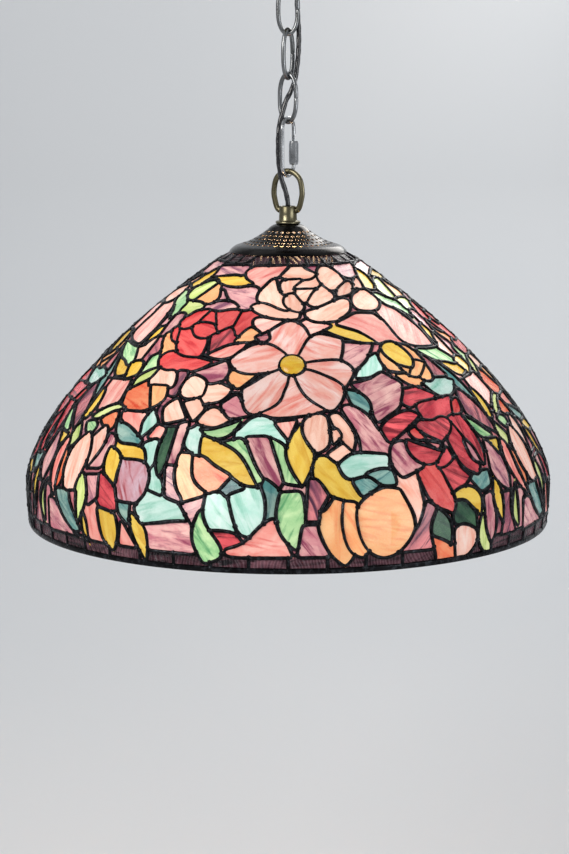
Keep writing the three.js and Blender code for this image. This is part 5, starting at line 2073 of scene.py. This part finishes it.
@dataclass(frozen=True)
class VentedCap:
    """The spun cap over the shade's top, pierced with rows of round holes."""

    radius: float = 56.6
    height: float = 26.3
    top: float = -271.8
    bore: float = 5.3
    wall: float = 0.6
    shares: Outline = ((0.203, 0), (0.29, 0.09), (0.38, 0.255), (0.53, 0.47), (0.673, 0.63), (0.79, 0.715),
                       (0.893, 0.79), (0.965, 0.9), (1, 1))
    rows: int = 5
    round_row: int = 24
    first_row: float = 22.0
    last_row: float = 42.0
    hole: float = 1.75

    def outer(self) -> list[tuple[float, float]]:
        """Give the outer curve from the neck down to the edge."""
        return [(r * self.radius, self.top - z * self.height) for r, z in through(self.shares, 4)]

    def build(self, workshop: Workshop) -> None:
        """Build the cap with its holes.

        Args:
            workshop: holds the finishes.
        """
        curve = self.outer()
        inner = []
        for i, (r, z) in enumerate(curve):
            a, b = curve[max(i - 1, 0)], curve[min(i + 1, len(curve) - 1)]
            away = Vector((b[1] - a[1], a[0] - b[0])).normalized() * self.wall
            inner.append((r + away.x, z + away.y))
        inner[-1] = (curve[-1][0] - self.wall, curve[-1][1])
        cap = turned("pierced_cap", [(self.bore, self.top)] + curve + inner[::-1]
                     + [(self.bore, self.top - self.wall)], 144)
        cap_holes = self._holes(curve)
        cut_away(cap, cap_holes)
        bpy.ops.object.shade_smooth_by_angle(angle=math.radians(40))
        dress(cap, workshop.metal["bronze"], "dark_bronze", "lamp_head", "vented_cap")

    def _holes(self, curve: list[tuple[float, float]]) -> bpy.types.Object:
        """Make all the pegs that the holes are cut with."""
        pegs = []
        for row in range(self.rows):
            reach = self.first_row + (self.last_row - self.first_row) * row / (self.rows - 1)
            i = next(k for k, (r, _) in enumerate(curve) if r > reach)
            (r0, z0), (r1, z1) = curve[i - 1], curve[i]
            z = z0 + (z1 - z0) * (reach - r0) / (r1 - r0)
            count = self.round_row + 5 * row
            for k in range(count):
                angle = math.tau * (k + 0.5 * (row % 2)) / count
                facing = Vector(((z0 - z1) * math.cos(angle), (z0 - z1) * math.sin(angle), r1 - r0))
                spot = (reach * math.cos(angle), reach * math.sin(angle), z)
                pegs.append(peg(self.hole, 6, spot, facing, 10))
        return join("cap_holes", *pegs)


# ---- ceiling fitting -------------------------------------------------------------------------

@dataclass(frozen=True)
class CeilingFitting:
    """Crossbar, canopy, its screws and nuts, the loop, the cord's bush and the terminal block."""

    body: str = "ceiling_mount"
    radius: float = 62.5
    height: float = 25.7
    wall: float = 1.2
    screw_x: float = 40.0
    cord_hole: tuple[float, float] = (13.0, 10.0)
    shares: Outline = ((1, 0), (0.99, 0.16), (0.95, 0.4), (0.8, 0.62), (0.66, 0.745), (0.54, 0.83),
                       (0.42, 0.905), (0.32, 0.95), (0.2, 1))

    def build(self, workshop: Workshop) -> None:
        """Build every piece of the fitting.

        Args:
            workshop: holds the finishes.
        """
        steel, brass = workshop.metal["steel"], workshop.metal["brass"]
        self._shell(workshop)
        self._crossbar(workshop)
        for number, x in ((1, self.screw_x), (2, -self.screw_x)):
            low, high = node_span(f"canopy_screw_{number}")
            x = (low.x + high.x) / 2
            shift = Matrix.Translation(Vector((x, 0, 0)) * MM)
            screw = threaded(f"long_screw_{number}", 1.95, low.z, high.z, pitch=0.8, sides=16)
            place(screw, shift)
            dress(screw, steel, "ceiling_steel", self.body, f"canopy_screw_{number}")
            low, high = node_span(f"screw_lock_nut_{number}")
            nut = hexagon_nut(f"small_nut_{number}", 7, 2.0, low.z, high.z)
            place(nut, shift)
            dress(nut, steel, "ceiling_steel", self.body, f"screw_lock_nut_{number}")
            top = node_span(f"canopy_cap_nut_{number}")[1].z
            acorn = turned(f"acorn_nut_{number}", [
                (0, top - 9.6), (1.6, top - 9.4), (2.9, top - 8.7), (3.9, top - 7.6), (4.6, top - 6.2),
                (4.9, top - 4.8), (5, top - 3.4), (5, top - 0.5), (4.6, top), (2.2, top), (2.2, top - 6.2),
                (0, top - 6.2)], 40)
            place(acorn, shift)
            soften(acorn)
            dress(acorn, brass, "antique_brass", self.body, f"canopy_cap_nut_{number}")
        low, high = node_span("canopy_nipple")
        tube = threaded("canopy_tube", 4.95, low.z, high.z, 3.4)
        dress(tube, steel, "ceiling_steel", self.body, "canopy_nipple")
        low, high = node_span("canopy_lock_nut")
        nut = hexagon_nut("canopy_nut", 14, 5.0, low.z, high.z)
        dress(nut, steel, "ceiling_steel", self.body, "canopy_lock_nut")
        self._loop(workshop)
        self._wiring(workshop)

    def _shell(self, workshop: Workshop) -> None:
        """Make the spun canopy with its holes."""
        curve = [(r * self.radius, -0.3 - z * self.height) for r, z in through(self.shares, 4)]
        inner = []
        for i, (r, z) in enumerate(curve):
            a, b = curve[max(i - 1, 0)], curve[min(i + 1, len(curve) - 1)]
            away = Vector((b[1] - a[1], a[0] - b[0])).normalized() * self.wall
            inner.append((r + away.x, z + away.y))
        inner[0] = (curve[0][0] - self.wall, curve[0][1])
        shell = turned("canopy_dome", curve + [(5.2, curve[-1][1]), (5.2, curve[-1][1] + self.wall)]
                       + inner[::-1], 128)
        for x, y, r in ((self.screw_x, 0, 2.2), (-self.screw_x, 0, 2.2), (*self.cord_hole, 4.2)):
            cut_away(shell, peg(r, 60, (x, y, -20)))
        bpy.ops.object.shade_smooth_by_angle(angle=math.radians(35))
        dress(shell, workshop.metal["brass"], "antique_brass", self.body, "canopy_shell")
        x, y = self.cord_hole
        bush = turned("cord_bush", [(2.8, -28.4), (4.4, -28.4), (5.0, -28.0), (5.6, -27.2), (5.6, -26.6),
                                    (3.9, -26.6), (3.9, -22.4), (5.2, -22.4), (5.2, -20.8), (2.8, -20.8)], 32)
        place(bush, Matrix.Translation(Vector((x, y, 0)) * MM))
        soften(bush, 0.15)
        dress(bush, workshop.rubber, "black_rubber", self.body, "cord_grommet")

    def _crossbar(self, workshop: Workshop) -> None:
        """Make the slotted bar that screws to the ceiling box."""
        low, high = node_span("ceiling_crossbar")
        bpy.ops.object.select_all(action="DESELECT")
        bpy.ops.mesh.primitive_cube_add(size=MM, location=(low + high) / 2 * MM,
                                        scale=tuple(high - low))
        bar = new_piece("slotted_bar")
        for x in (20.8, -20.8):
            for shift in (-5.05, 5.05):
                cut_away(bar, peg(2.25, 20, (x + shift, 0, -1.5), sides=32))
            bpy.ops.object.select_all(action="DESELECT")
            bpy.ops.mesh.primitive_cube_add(size=MM, location=(x * MM, 0, -1.5 * MM), scale=(10.1, 4.5, 20))
            cut_away(bar, new_piece("slot"))
        for x, r in ((self.screw_x, 2.0), (-self.screw_x, 2.0), (0, 5.0)):
            cut_away(bar, peg(r, 20, (x, 0, -1.5), sides=32))
        soften(bar, 0.25, 50)
        dress(bar, workshop.metal["steel"], "ceiling_steel", self.body, "ceiling_crossbar")

    def _loop(self, workshop: Workshop) -> None:
        """Make the loop that the chain hangs from and the hub it grows out of."""
        bpy.ops.object.select_all(action="DESELECT")
        bpy.ops.mesh.primitive_torus_add(major_radius=9.9 * MM, minor_radius=2.15 * MM, major_segments=64,
                                         minor_segments=18, location=(0, 0, -40.25 * MM),
                                         rotation=(0, math.radians(90), 0))
        eye = new_piece("loop_eye")
        hub = turned("loop_hub", [
            (0, -33.7), (4.6, -33.7), (5.5, -33.2), (7.0, -32.2), (7.4, -31.6), (7.6, -30.2),
            (8.1, -29.4), (8.3, -28.4), (8.0, -27.4), (8.0, -26.3), (0, -26.3)], 48)
        loop = join("canopy_eye", hub, eye)
        bpy.ops.object.shade_smooth_by_angle(angle=math.radians(40))
        dress(loop, workshop.metal["brass"], "antique_brass", self.body, "canopy_loop")

    def _wiring(self, workshop: Workshop) -> None:
        """Make the terminal block and the supply lead inside the canopy."""
        low, high = node_span("terminal_block")
        bpy.ops.object.select_all(action="DESELECT")
        bpy.ops.mesh.primitive_cube_add(size=MM, location=(low + high) / 2 * MM, scale=tuple(high - low))
        block = new_piece("terminals")
        middle = (low + high) / 2
        for x in (-8, 0, 8):
            for y in (-2.9, 2.9):
                cut_away(block, peg(1.6, 6, (middle.x + x, middle.y + y, low.z + 1.5), sides=16))
        soften(block, 0.5, 50)
        dress(block, workshop.porcelain, "porcelain", self.body, "terminal_block")
        points = [Vector(p) for p in ((13, 10, -19.6), (13, 10, -15.5), (13, 11.4, -11.4), (13, 13.8, -10.2),
                                      (13, 15, -10.2))]
        lead = wire("supply_flex", [p * MM for p in along(points, 0.8)], 4.9)
        dress(lead, workshop.rubber, "flex", self.body, "supply_lead")


# ---- inside the shade ------------------------------------------------------------------------

@dataclass(frozen=True)
class Cluster:
    """The threaded stem, its nuts, the lamp cluster, three lamp holders and their bulbs."""

    body: str = "lamp_head"
    hub_z: float = -337.7
    first_turn: float = 90.0
    tilt: float = 125.0

    def build(self, workshop: Workshop) -> None:
        """Build every piece under the cap.

        Args:
            workshop: holds the finishes.
        """
        steel, brass = workshop.metal["steel"], workshop.metal["brass"]
        low, high = node_span("centre_nipple")
        stem = threaded("threaded_stem", 4.95, low.z, high.z, 3.4)
        dress(stem, steel, "ceiling_steel", self.body, "centre_nipple")
        for name in ("cap_lock_nut", "spider_lock_nut", "cluster_lock_nut"):
            low, high = node_span(name)
            nut = hexagon_nut(name.replace("lock_nut", "nut"), 14, 5.0, low.z, high.z)
            dress(nut, steel, "ceiling_steel", self.body, name)
        cover = turned("cluster_lid", [(5.2, -339.7), (22.4, -339.7), (22.6, -339.3), (22.2, -338.7),
                                       (18, -338.3), (9.2, -337.7), (5.2, -337.7)], 64)
        soften(cover)
        dress(cover, brass, "antique_brass", self.body, "cluster_cover")
        self._cup(workshop)
        finial = turned("finial_knob", [(0, -381), (1.9, -380.8), (3.4, -380), (5.2, -378.5), (6.4, -376.6),
                                        (7, -374.8), (7, -373), (6.2, -371.2), (5, -369.9), (4.6, -369.4),
                                        (4.6, -368.3), (3, -368.3), (3, -361), (0, -361)], 40)
        soften(finial)
        dress(finial, brass, "antique_brass", self.body, "cluster_finial")
        for number in range(3):
            self._arm(workshop, number)

    def stand(self, number: int) -> Matrix:
        """Say where a lamp holder stands and how it leans."""
        return (Matrix.Translation(Vector((0, 0, self.hub_z)) * MM)
                @ Matrix.Rotation(math.radians(self.first_turn + 120 * number), 4, "Z")
                @ Matrix.Rotation(math.radians(self.tilt), 4, "Y"))

    def _cup(self, workshop: Workshop) -> None:
        """Make the cluster's cup with a hole for each holder."""
        cup = turned("cluster_cup", [
            (3.3, -368), (17.6, -368), (19.6, -367.4), (21.2, -366), (22, -364),
            (22, -340), (20.5, -340), (20.5, -363.6), (18.4, -366.5), (3.3, -366.5)], 64)
        for number in range(3):
            arm = peg(5.6, 40, (0, 0, 30))
            place(arm, self.stand(number))
            cut_away(cup, arm)
        soften(cup, 0.2, 40)
        dress(cup, workshop.metal["brass"], "antique_brass", self.body, "cluster_body")

    def _arm(self, workshop: Workshop, number: int) -> None:
        """Make one husk, its porcelain holder and its bulb."""
        husk = turned(f"holder_cup_{number + 1}", [
            (3.8, 23.86), (5.3, 23.86), (5.3, 35), (5.8, 36.2), (9, 38), (13.4, 40.8), (16.3, 43.4),
            (16.9, 45), (17.4, 49.6), (17.5, 53), (16.3, 53), (16.3, 50), (15.4, 45), (8.2, 39.4),
            (3.8, 37.5)], 48)
        socket = turned(f"holder_{number + 1}", [(0, 50.6), (15.4, 50.6), (16, 51.4), (16, 85), (15.6, 86),
                                                 (14.2, 86), (13.8, 85.6), (13.8, 55), (0, 55)], 48)
        shell = [(12.6, 60.2)]
        for i in range(6):
            z = 61.5 + i * 3.4
            shell += [(12.5, z), (13.2, z + 1.2), (13.2, z + 1.7), (12.5, z + 2.9)]
        base = turned(f"bulb_screw_{number + 1}", [(0, 56), (3.6, 56), (4.5, 56.6), (5, 57.4), (8.5, 58.4)]
                      + shell + [(12.8, 82), (0, 82)], 40)
        shares = ((0.43, 0), (0.455, 0.05), (0.49, 0.1), (0.58, 0.18), (0.7, 0.27), (0.81, 0.35), (0.9, 0.44),
                  (0.97, 0.53), (1, 0.61), (0.99, 0.7), (0.93, 0.78), (0.83, 0.855), (0.7, 0.91),
                  (0.55, 0.95), (0.37, 0.98), (0.18, 0.995))
        bulb = turned(f"bulb_{number + 1}_globe", [(0, 82.3)] + [(r * 30, 82.3 + z * 82) for r, z in shares]
                      + [(0, 82.3 + 82)], 56)
        made = (
            (husk, workshop.metal["brass"], "antique_brass", self.body, f"socket_husk_{number + 1}"),
            (socket, workshop.porcelain, "porcelain", self.body, f"socket_{number + 1}"),
            (base, workshop.metal["nickel"], "nickel", f"bulb_{number + 1}", f"bulb_base_{number + 1}"),
            (bulb, workshop.bulb, "bulb_glass", f"bulb_{number + 1}", f"bulb_glass_{number + 1}"),
        )
        for obj, material, slot, body, node in made:
            place(obj, self.stand(number))
            soften(obj)
            dress(obj, material, slot, body, node)


# ---- the power flex --------------------------------------------------------------------------

def along(points: Sequence[Vector], spacing: float) -> list[Vector]:
    """Draw an even, smooth line through points in space.

    Args:
        points: the points it goes through.
        spacing: the distance between the points it gives.

    Returns:
        Its points.
    """
    ends = [points[0] * 2 - points[1], *points, points[-1] * 2 - points[-2]]
    fine = []
    for a, b, c, d in zip(ends, ends[1:], ends[2:], ends[3:]):
        t0, t1 = 0.0, math.sqrt((b - a).length)
        t2 = t1 + math.sqrt((c - b).length)
        t3 = t2 + math.sqrt((d - c).length)
        for i in range(40):
            t = t1 + (t2 - t1) * i / 40
            ab = a.lerp(b, (t - t0) / (t1 - t0))
            bc = b.lerp(c, (t - t1) / (t2 - t1))
            cd = c.lerp(d, (t - t2) / (t3 - t2))
            first = ab.lerp(bc, (t - t0) / (t2 - t0))
            second = bc.lerp(cd, (t - t1) / (t3 - t1))
            fine.append(first.lerp(second, (t - t1) / (t2 - t1)))
    fine.append(points[-1].copy())
    total = sum((q - p).length for p, q in zip(fine, fine[1:]))
    step = total / round(total / spacing)
    even, owed = [fine[0]], step
    for p, q in zip(fine, fine[1:]):
        while (q - p).length >= owed:
            p = p.lerp(q, owed / (q - p).length)
            even.append(p)
            owed = step
        owed -= (q - p).length
    if (even[-1] - fine[-1]).length > step / 2:
        even.append(fine[-1])
    return even


@dataclass(frozen=True)
class Flex:
    """The twisted flex, wound once through the chain, in one stretch for each hinge."""

    diameter: float = 5.0
    sides: int = 28
    spacing: float = 0.6
    twist: float = 22.0
    lobe: float = 0.05
    bend_reach: float = 12.0
    route: tuple[tuple[float, float, float], ...] = (
        (13, 10, -20), (13, 10, -27), (12.2, 9.8, -36), (10, 8.6, -48), (8.7, 7.4, -60), (9.4, 6.6, -76),
        (10.3, 6, -93), (9.6, 4.2, -112.5), (7.8, 3.7, -128), (6.3, 3, -136.5), (2.3, 1, -146.5),
        (-2.1, -1, -155), (-5.2, -2.2, -166), (-7.9, -2.4, -176), (-9.1, -2.9, -188),
        (-9.3, -3, -201.3), (-8.6, -3, -215.5),
        (-6.4, -3.2, -228), (-2.4, -1.8, -240.5), (-0.4, -0.3, -250), (0, 0, -258), (0, 0, -271))
    cuts: tuple[float, ...] = (-20, -69, -110.5, -151.9, -198.4, -238.5, -271)
    hinges: tuple[float, ...] = (-50.15, -91.75, -133.35, -174.95, -226.0, -258.9)
    bodies: tuple[str, ...] = (
        "ceiling_mount", "link_1", "link_2", "link_3", "quick_link", "ring", "lamp_head")

    def build(self, workshop: Workshop) -> None:
        """Args:
            workshop: holds the finishes.
        """
        line = along([Vector(p) for p in self.route], self.spacing)
        frames = self._frames(line)
        for k, hinge in enumerate(self.hinges):
            first = next(i for i, p in enumerate(line) if p.z <= self.cuts[k] + 1e-6)
            last = max(i for i, p in enumerate(line) if p.z >= self.cuts[k + 1] - 1e-6)
            if k:
                first -= 1
            obj = self._tube(f"flex_{k + 1}", line, frames, first, last)
            obj.data.materials.append(workshop.flex)
            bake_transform(obj)
            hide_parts(f"power_cord_{k + 1}")

    @staticmethod
    def _frames(line: list[Vector]) -> list[tuple[Vector, Vector]]:
        """Carry a sideways direction along the line without turning it."""
        frames = []
        side = Vector((1, 0, 0))
        for i in range(len(line)):
            ahead = (line[min(i + 1, len(line) - 1)] - line[max(i - 1, 0)]).normalized()
            side = (side - ahead * side.dot(ahead)).normalized()
            frames.append((side.copy(), ahead.cross(side)))
        return frames

    def _tube(self, name: str, line: list[Vector], frames: list[tuple[Vector, Vector]], first: int,
              last: int) -> bpy.types.Object:
        """Sweep the two-lobed section from one point of the line to another.

        Args:
            name: the stretch's name.
            line: the whole line.
            frames: two sideways directions at each of its points.
            first: number of its first point.
            last: number of its last point.

        Returns:
            The mesh, closed at both ends.
        """
        points, faces, grain = [], [], []
        sides = self.sides
        for i in range(first, last + 1):
            run = i * self.spacing
            side, other = frames[i]
            for k in range(sides):
                angle = math.tau * k / sides
                lobes = math.cos(2 * (angle + math.tau * run / self.twist))
                reach = self.diameter / 2 * (1 - self.lobe + self.lobe * lobes)
                points.append(line[i] + (side * math.cos(angle) + other * math.sin(angle)) * reach)
            if i > first:
                base = (i - first - 1) * sides
                for k in range(sides):
                    after = (k + 1) % sides
                    faces.append((base + k, base + after, base + after + sides, base + k + sides))
                    before = run - self.spacing
                    share, onward = k / sides, (k + 1) / sides
                    grain += [share, before, onward, before, onward, run, share, run]
        faces.append(tuple(reversed(range(sides))))
        faces.append(tuple(len(points) - sides + k for k in range(sides)))
        grain += [0.0] * (4 * sides)
        obj = from_points(name, points, faces)
        obj.data.uv_layers.new(name="grain").data.foreach_set("uv", grain)
        pick_only(obj)
        bpy.ops.object.shade_smooth_by_angle(angle=math.radians(50))
        return obj


# ---- camera, light and room ------------------------------------------------------------------

@dataclass(frozen=True)
class View:
    """The camera: where it stands, how far it looks down and its lens."""

    distance: float = 2.3
    height: float = -0.0881
    down: float = 9.43
    lens: float = 151.16
    shift: float = -0.00615

    def build(self) -> bpy.types.Object:
        """Place the camera and make it the scene's own."""
        bpy.ops.object.camera_add(location=(0, -self.distance, self.height),
                                  rotation=(math.radians(90 - self.down), 0, 0))
        camera = bpy.context.active_object
        camera.name = "camera"
        camera.data.lens = self.lens
        camera.data.sensor_width = 36
        camera.data.sensor_fit = "HORIZONTAL"
        camera.data.shift_x = self.shift
        bpy.context.scene.camera = camera
        return camera


@dataclass(frozen=True)
class Room:
    """A pale floor and wall, soft studio light, and the lamp's own light."""

    floor_z: float = -1.35
    wall_y: float = 1.9
    half_width: float = 4.2
    near_y: float = -3.4
    curve: float = 1.0
    wall_rise: float = 3.0
    vent_lights: int = 8

    def build(self, workshop: Workshop) -> None:
        """Build the room and its lights."""
        self._sweep(workshop)
        self._area("key_light", (-1.5, -1.7, 0.75), (0, 0, -0.4), 1.3, 34, (1.0, 0.97, 0.93))
        self._area("fill_light", (1.9, -1.5, -0.2), (0, 0, -0.35), 1.5, 16, (0.96, 0.98, 1.0))
        self._area("back_light", (0.8, 1.5, 0.6), (0, 0, -0.25), 1.0, 12, (1.0, 0.98, 0.95))
        self._area("wall_light", (0, 0.6, 1.2), (0, 2.4, -0.2), 2.4, 9, (0.94, 0.97, 1.0))
        self._point("lamp_light", (0, 0, -0.475), 0.05, 2.6, (1.0, 0.84, 0.62))
        for number in range(self.vent_lights):
            angle = math.tau * number / self.vent_lights
            spot = (0.03 * math.cos(angle), 0.03 * math.sin(angle), -0.296)
            self._point(f"vent_light_{number + 1}", spot, 0.006, 0.07, (1.0, 0.66, 0.38))
        self._point("vent_light_middle", (0, 0, -0.292), 0.008, 0.12, (1.0, 0.66, 0.38))
        world = bpy.data.worlds.new("pale_air")
        world.use_nodes = True
        sky = world.node_tree.nodes["Background"]
        sky.inputs["Color"].default_value = (0.82, 0.84, 0.88, 1)
        sky.inputs["Strength"].default_value = 0.35
        bpy.context.scene.world = world

    def _sweep(self, workshop: Workshop) -> None:
        """Make a floor that curves up into a wall."""
        bpy.ops.object.select_all(action="DESELECT")
        bpy.ops.mesh.primitive_plane_add(size=2, location=(0, 0, 0))
        floor = new_piece("studio_floor")
        with editing(floor):
            pick(floor, lambda co: co.y > 0)
            for step in ((0, self.curve, self.curve), (0, 0, self.wall_rise)):
                bpy.ops.mesh.extrude_region_move(TRANSFORM_OT_translate={"value": step})
        for v in floor.data.vertices:
            x, y, z = v.co
            v.co = (x * self.half_width, self.near_y if y < 0 else self.wall_y + (y - 1) - self.curve,
                    self.floor_z + z)
        with editing(floor):
            pick(floor, lambda co: co.z < self.floor_z + 1e-6 and co.y > self.near_y + 1e-6)
            bpy.ops.mesh.bevel(offset=self.curve * 0.9, segments=24, affect="EDGES")
            bpy.ops.mesh.select_all(action="SELECT")
            bpy.ops.mesh.normals_make_consistent(inside=True)
        bpy.ops.object.shade_smooth()
        floor.data.materials.append(workshop.wall)

    @staticmethod
    def _area(name: str, spot: tuple, aim: tuple, size: float, watts: float, colour: Colour) -> None:
        """Hang a soft square light that faces a point."""
        facing = Vector(aim) - Vector(spot)
        bpy.ops.object.light_add(type="AREA", location=spot,
                                 rotation=facing.to_track_quat("-Z", "Y").to_euler())
        lamp = bpy.context.active_object
        lamp.name = name
        lamp.data.size = size
        lamp.data.energy = watts
        lamp.data.color = colour

    @staticmethod
    def _point(name: str, spot: tuple, radius: float, watts: float, colour: Colour) -> None:
        """Hang a small round light."""
        bpy.ops.object.light_add(type="POINT", location=spot)
        lamp = bpy.context.active_object
        lamp.name = name
        lamp.data.shadow_soft_size = radius
        lamp.data.energy = watts
        lamp.data.color = colour


def finish_solids(workshop: Workshop) -> None:
    """Give each solid that stays as it is a finish, by its slot.

    Args:
        workshop: holds the finishes.
    """
    finishes = {
        "ceiling_steel": workshop.metal["steel"], "antique_brass": workshop.metal["brass"],
        "pewter": workshop.metal["pewter"], "nickel": workshop.metal["nickel"],
        "dark_bronze": workshop.metal["bronze"], "lead_came": workshop.metal["lead"],
        "bulb_glass": workshop.bulb, "flex": workshop.rubber, "porcelain": workshop.porcelain,
        "black_rubber": workshop.rubber,
    }
    for row in frame["record"]["subparts"]:
        obj = frame["nodes"][row["node"]]
        finish = finishes.get(row["material_slot"])
        if finish is not None and not obj.hide_render:
            obj.data.materials.clear()
            obj.data.materials.append(finish)
            LOG.info("%s: finished as %s", obj.name, finish.name)


def main() -> None:
    """Build the lamp and its room, in order."""
    logging.basicConfig(level=logging.INFO, format="%(message)s")
    bpy.context.scene.view_settings.view_transform = "Standard"
    workshop = Workshop()
    View().build()
    Flex().build(workshop)
    CeilingFitting().build(workshop)
    for number, turn in ((1, 0.0), (2, 62.0), (3, -34.0)):
        Link(number, turn).build(workshop)
    QuickLink().build(workshop)
    Ring().build(workshop)
    Collar().build(workshop)
    VentedCap().build(workshop)
    Shade().build(workshop)
    Cluster().build(workshop)
    finish_solids(workshop)
    Room().build(workshop)


if __name__ == "__main__":
    main()
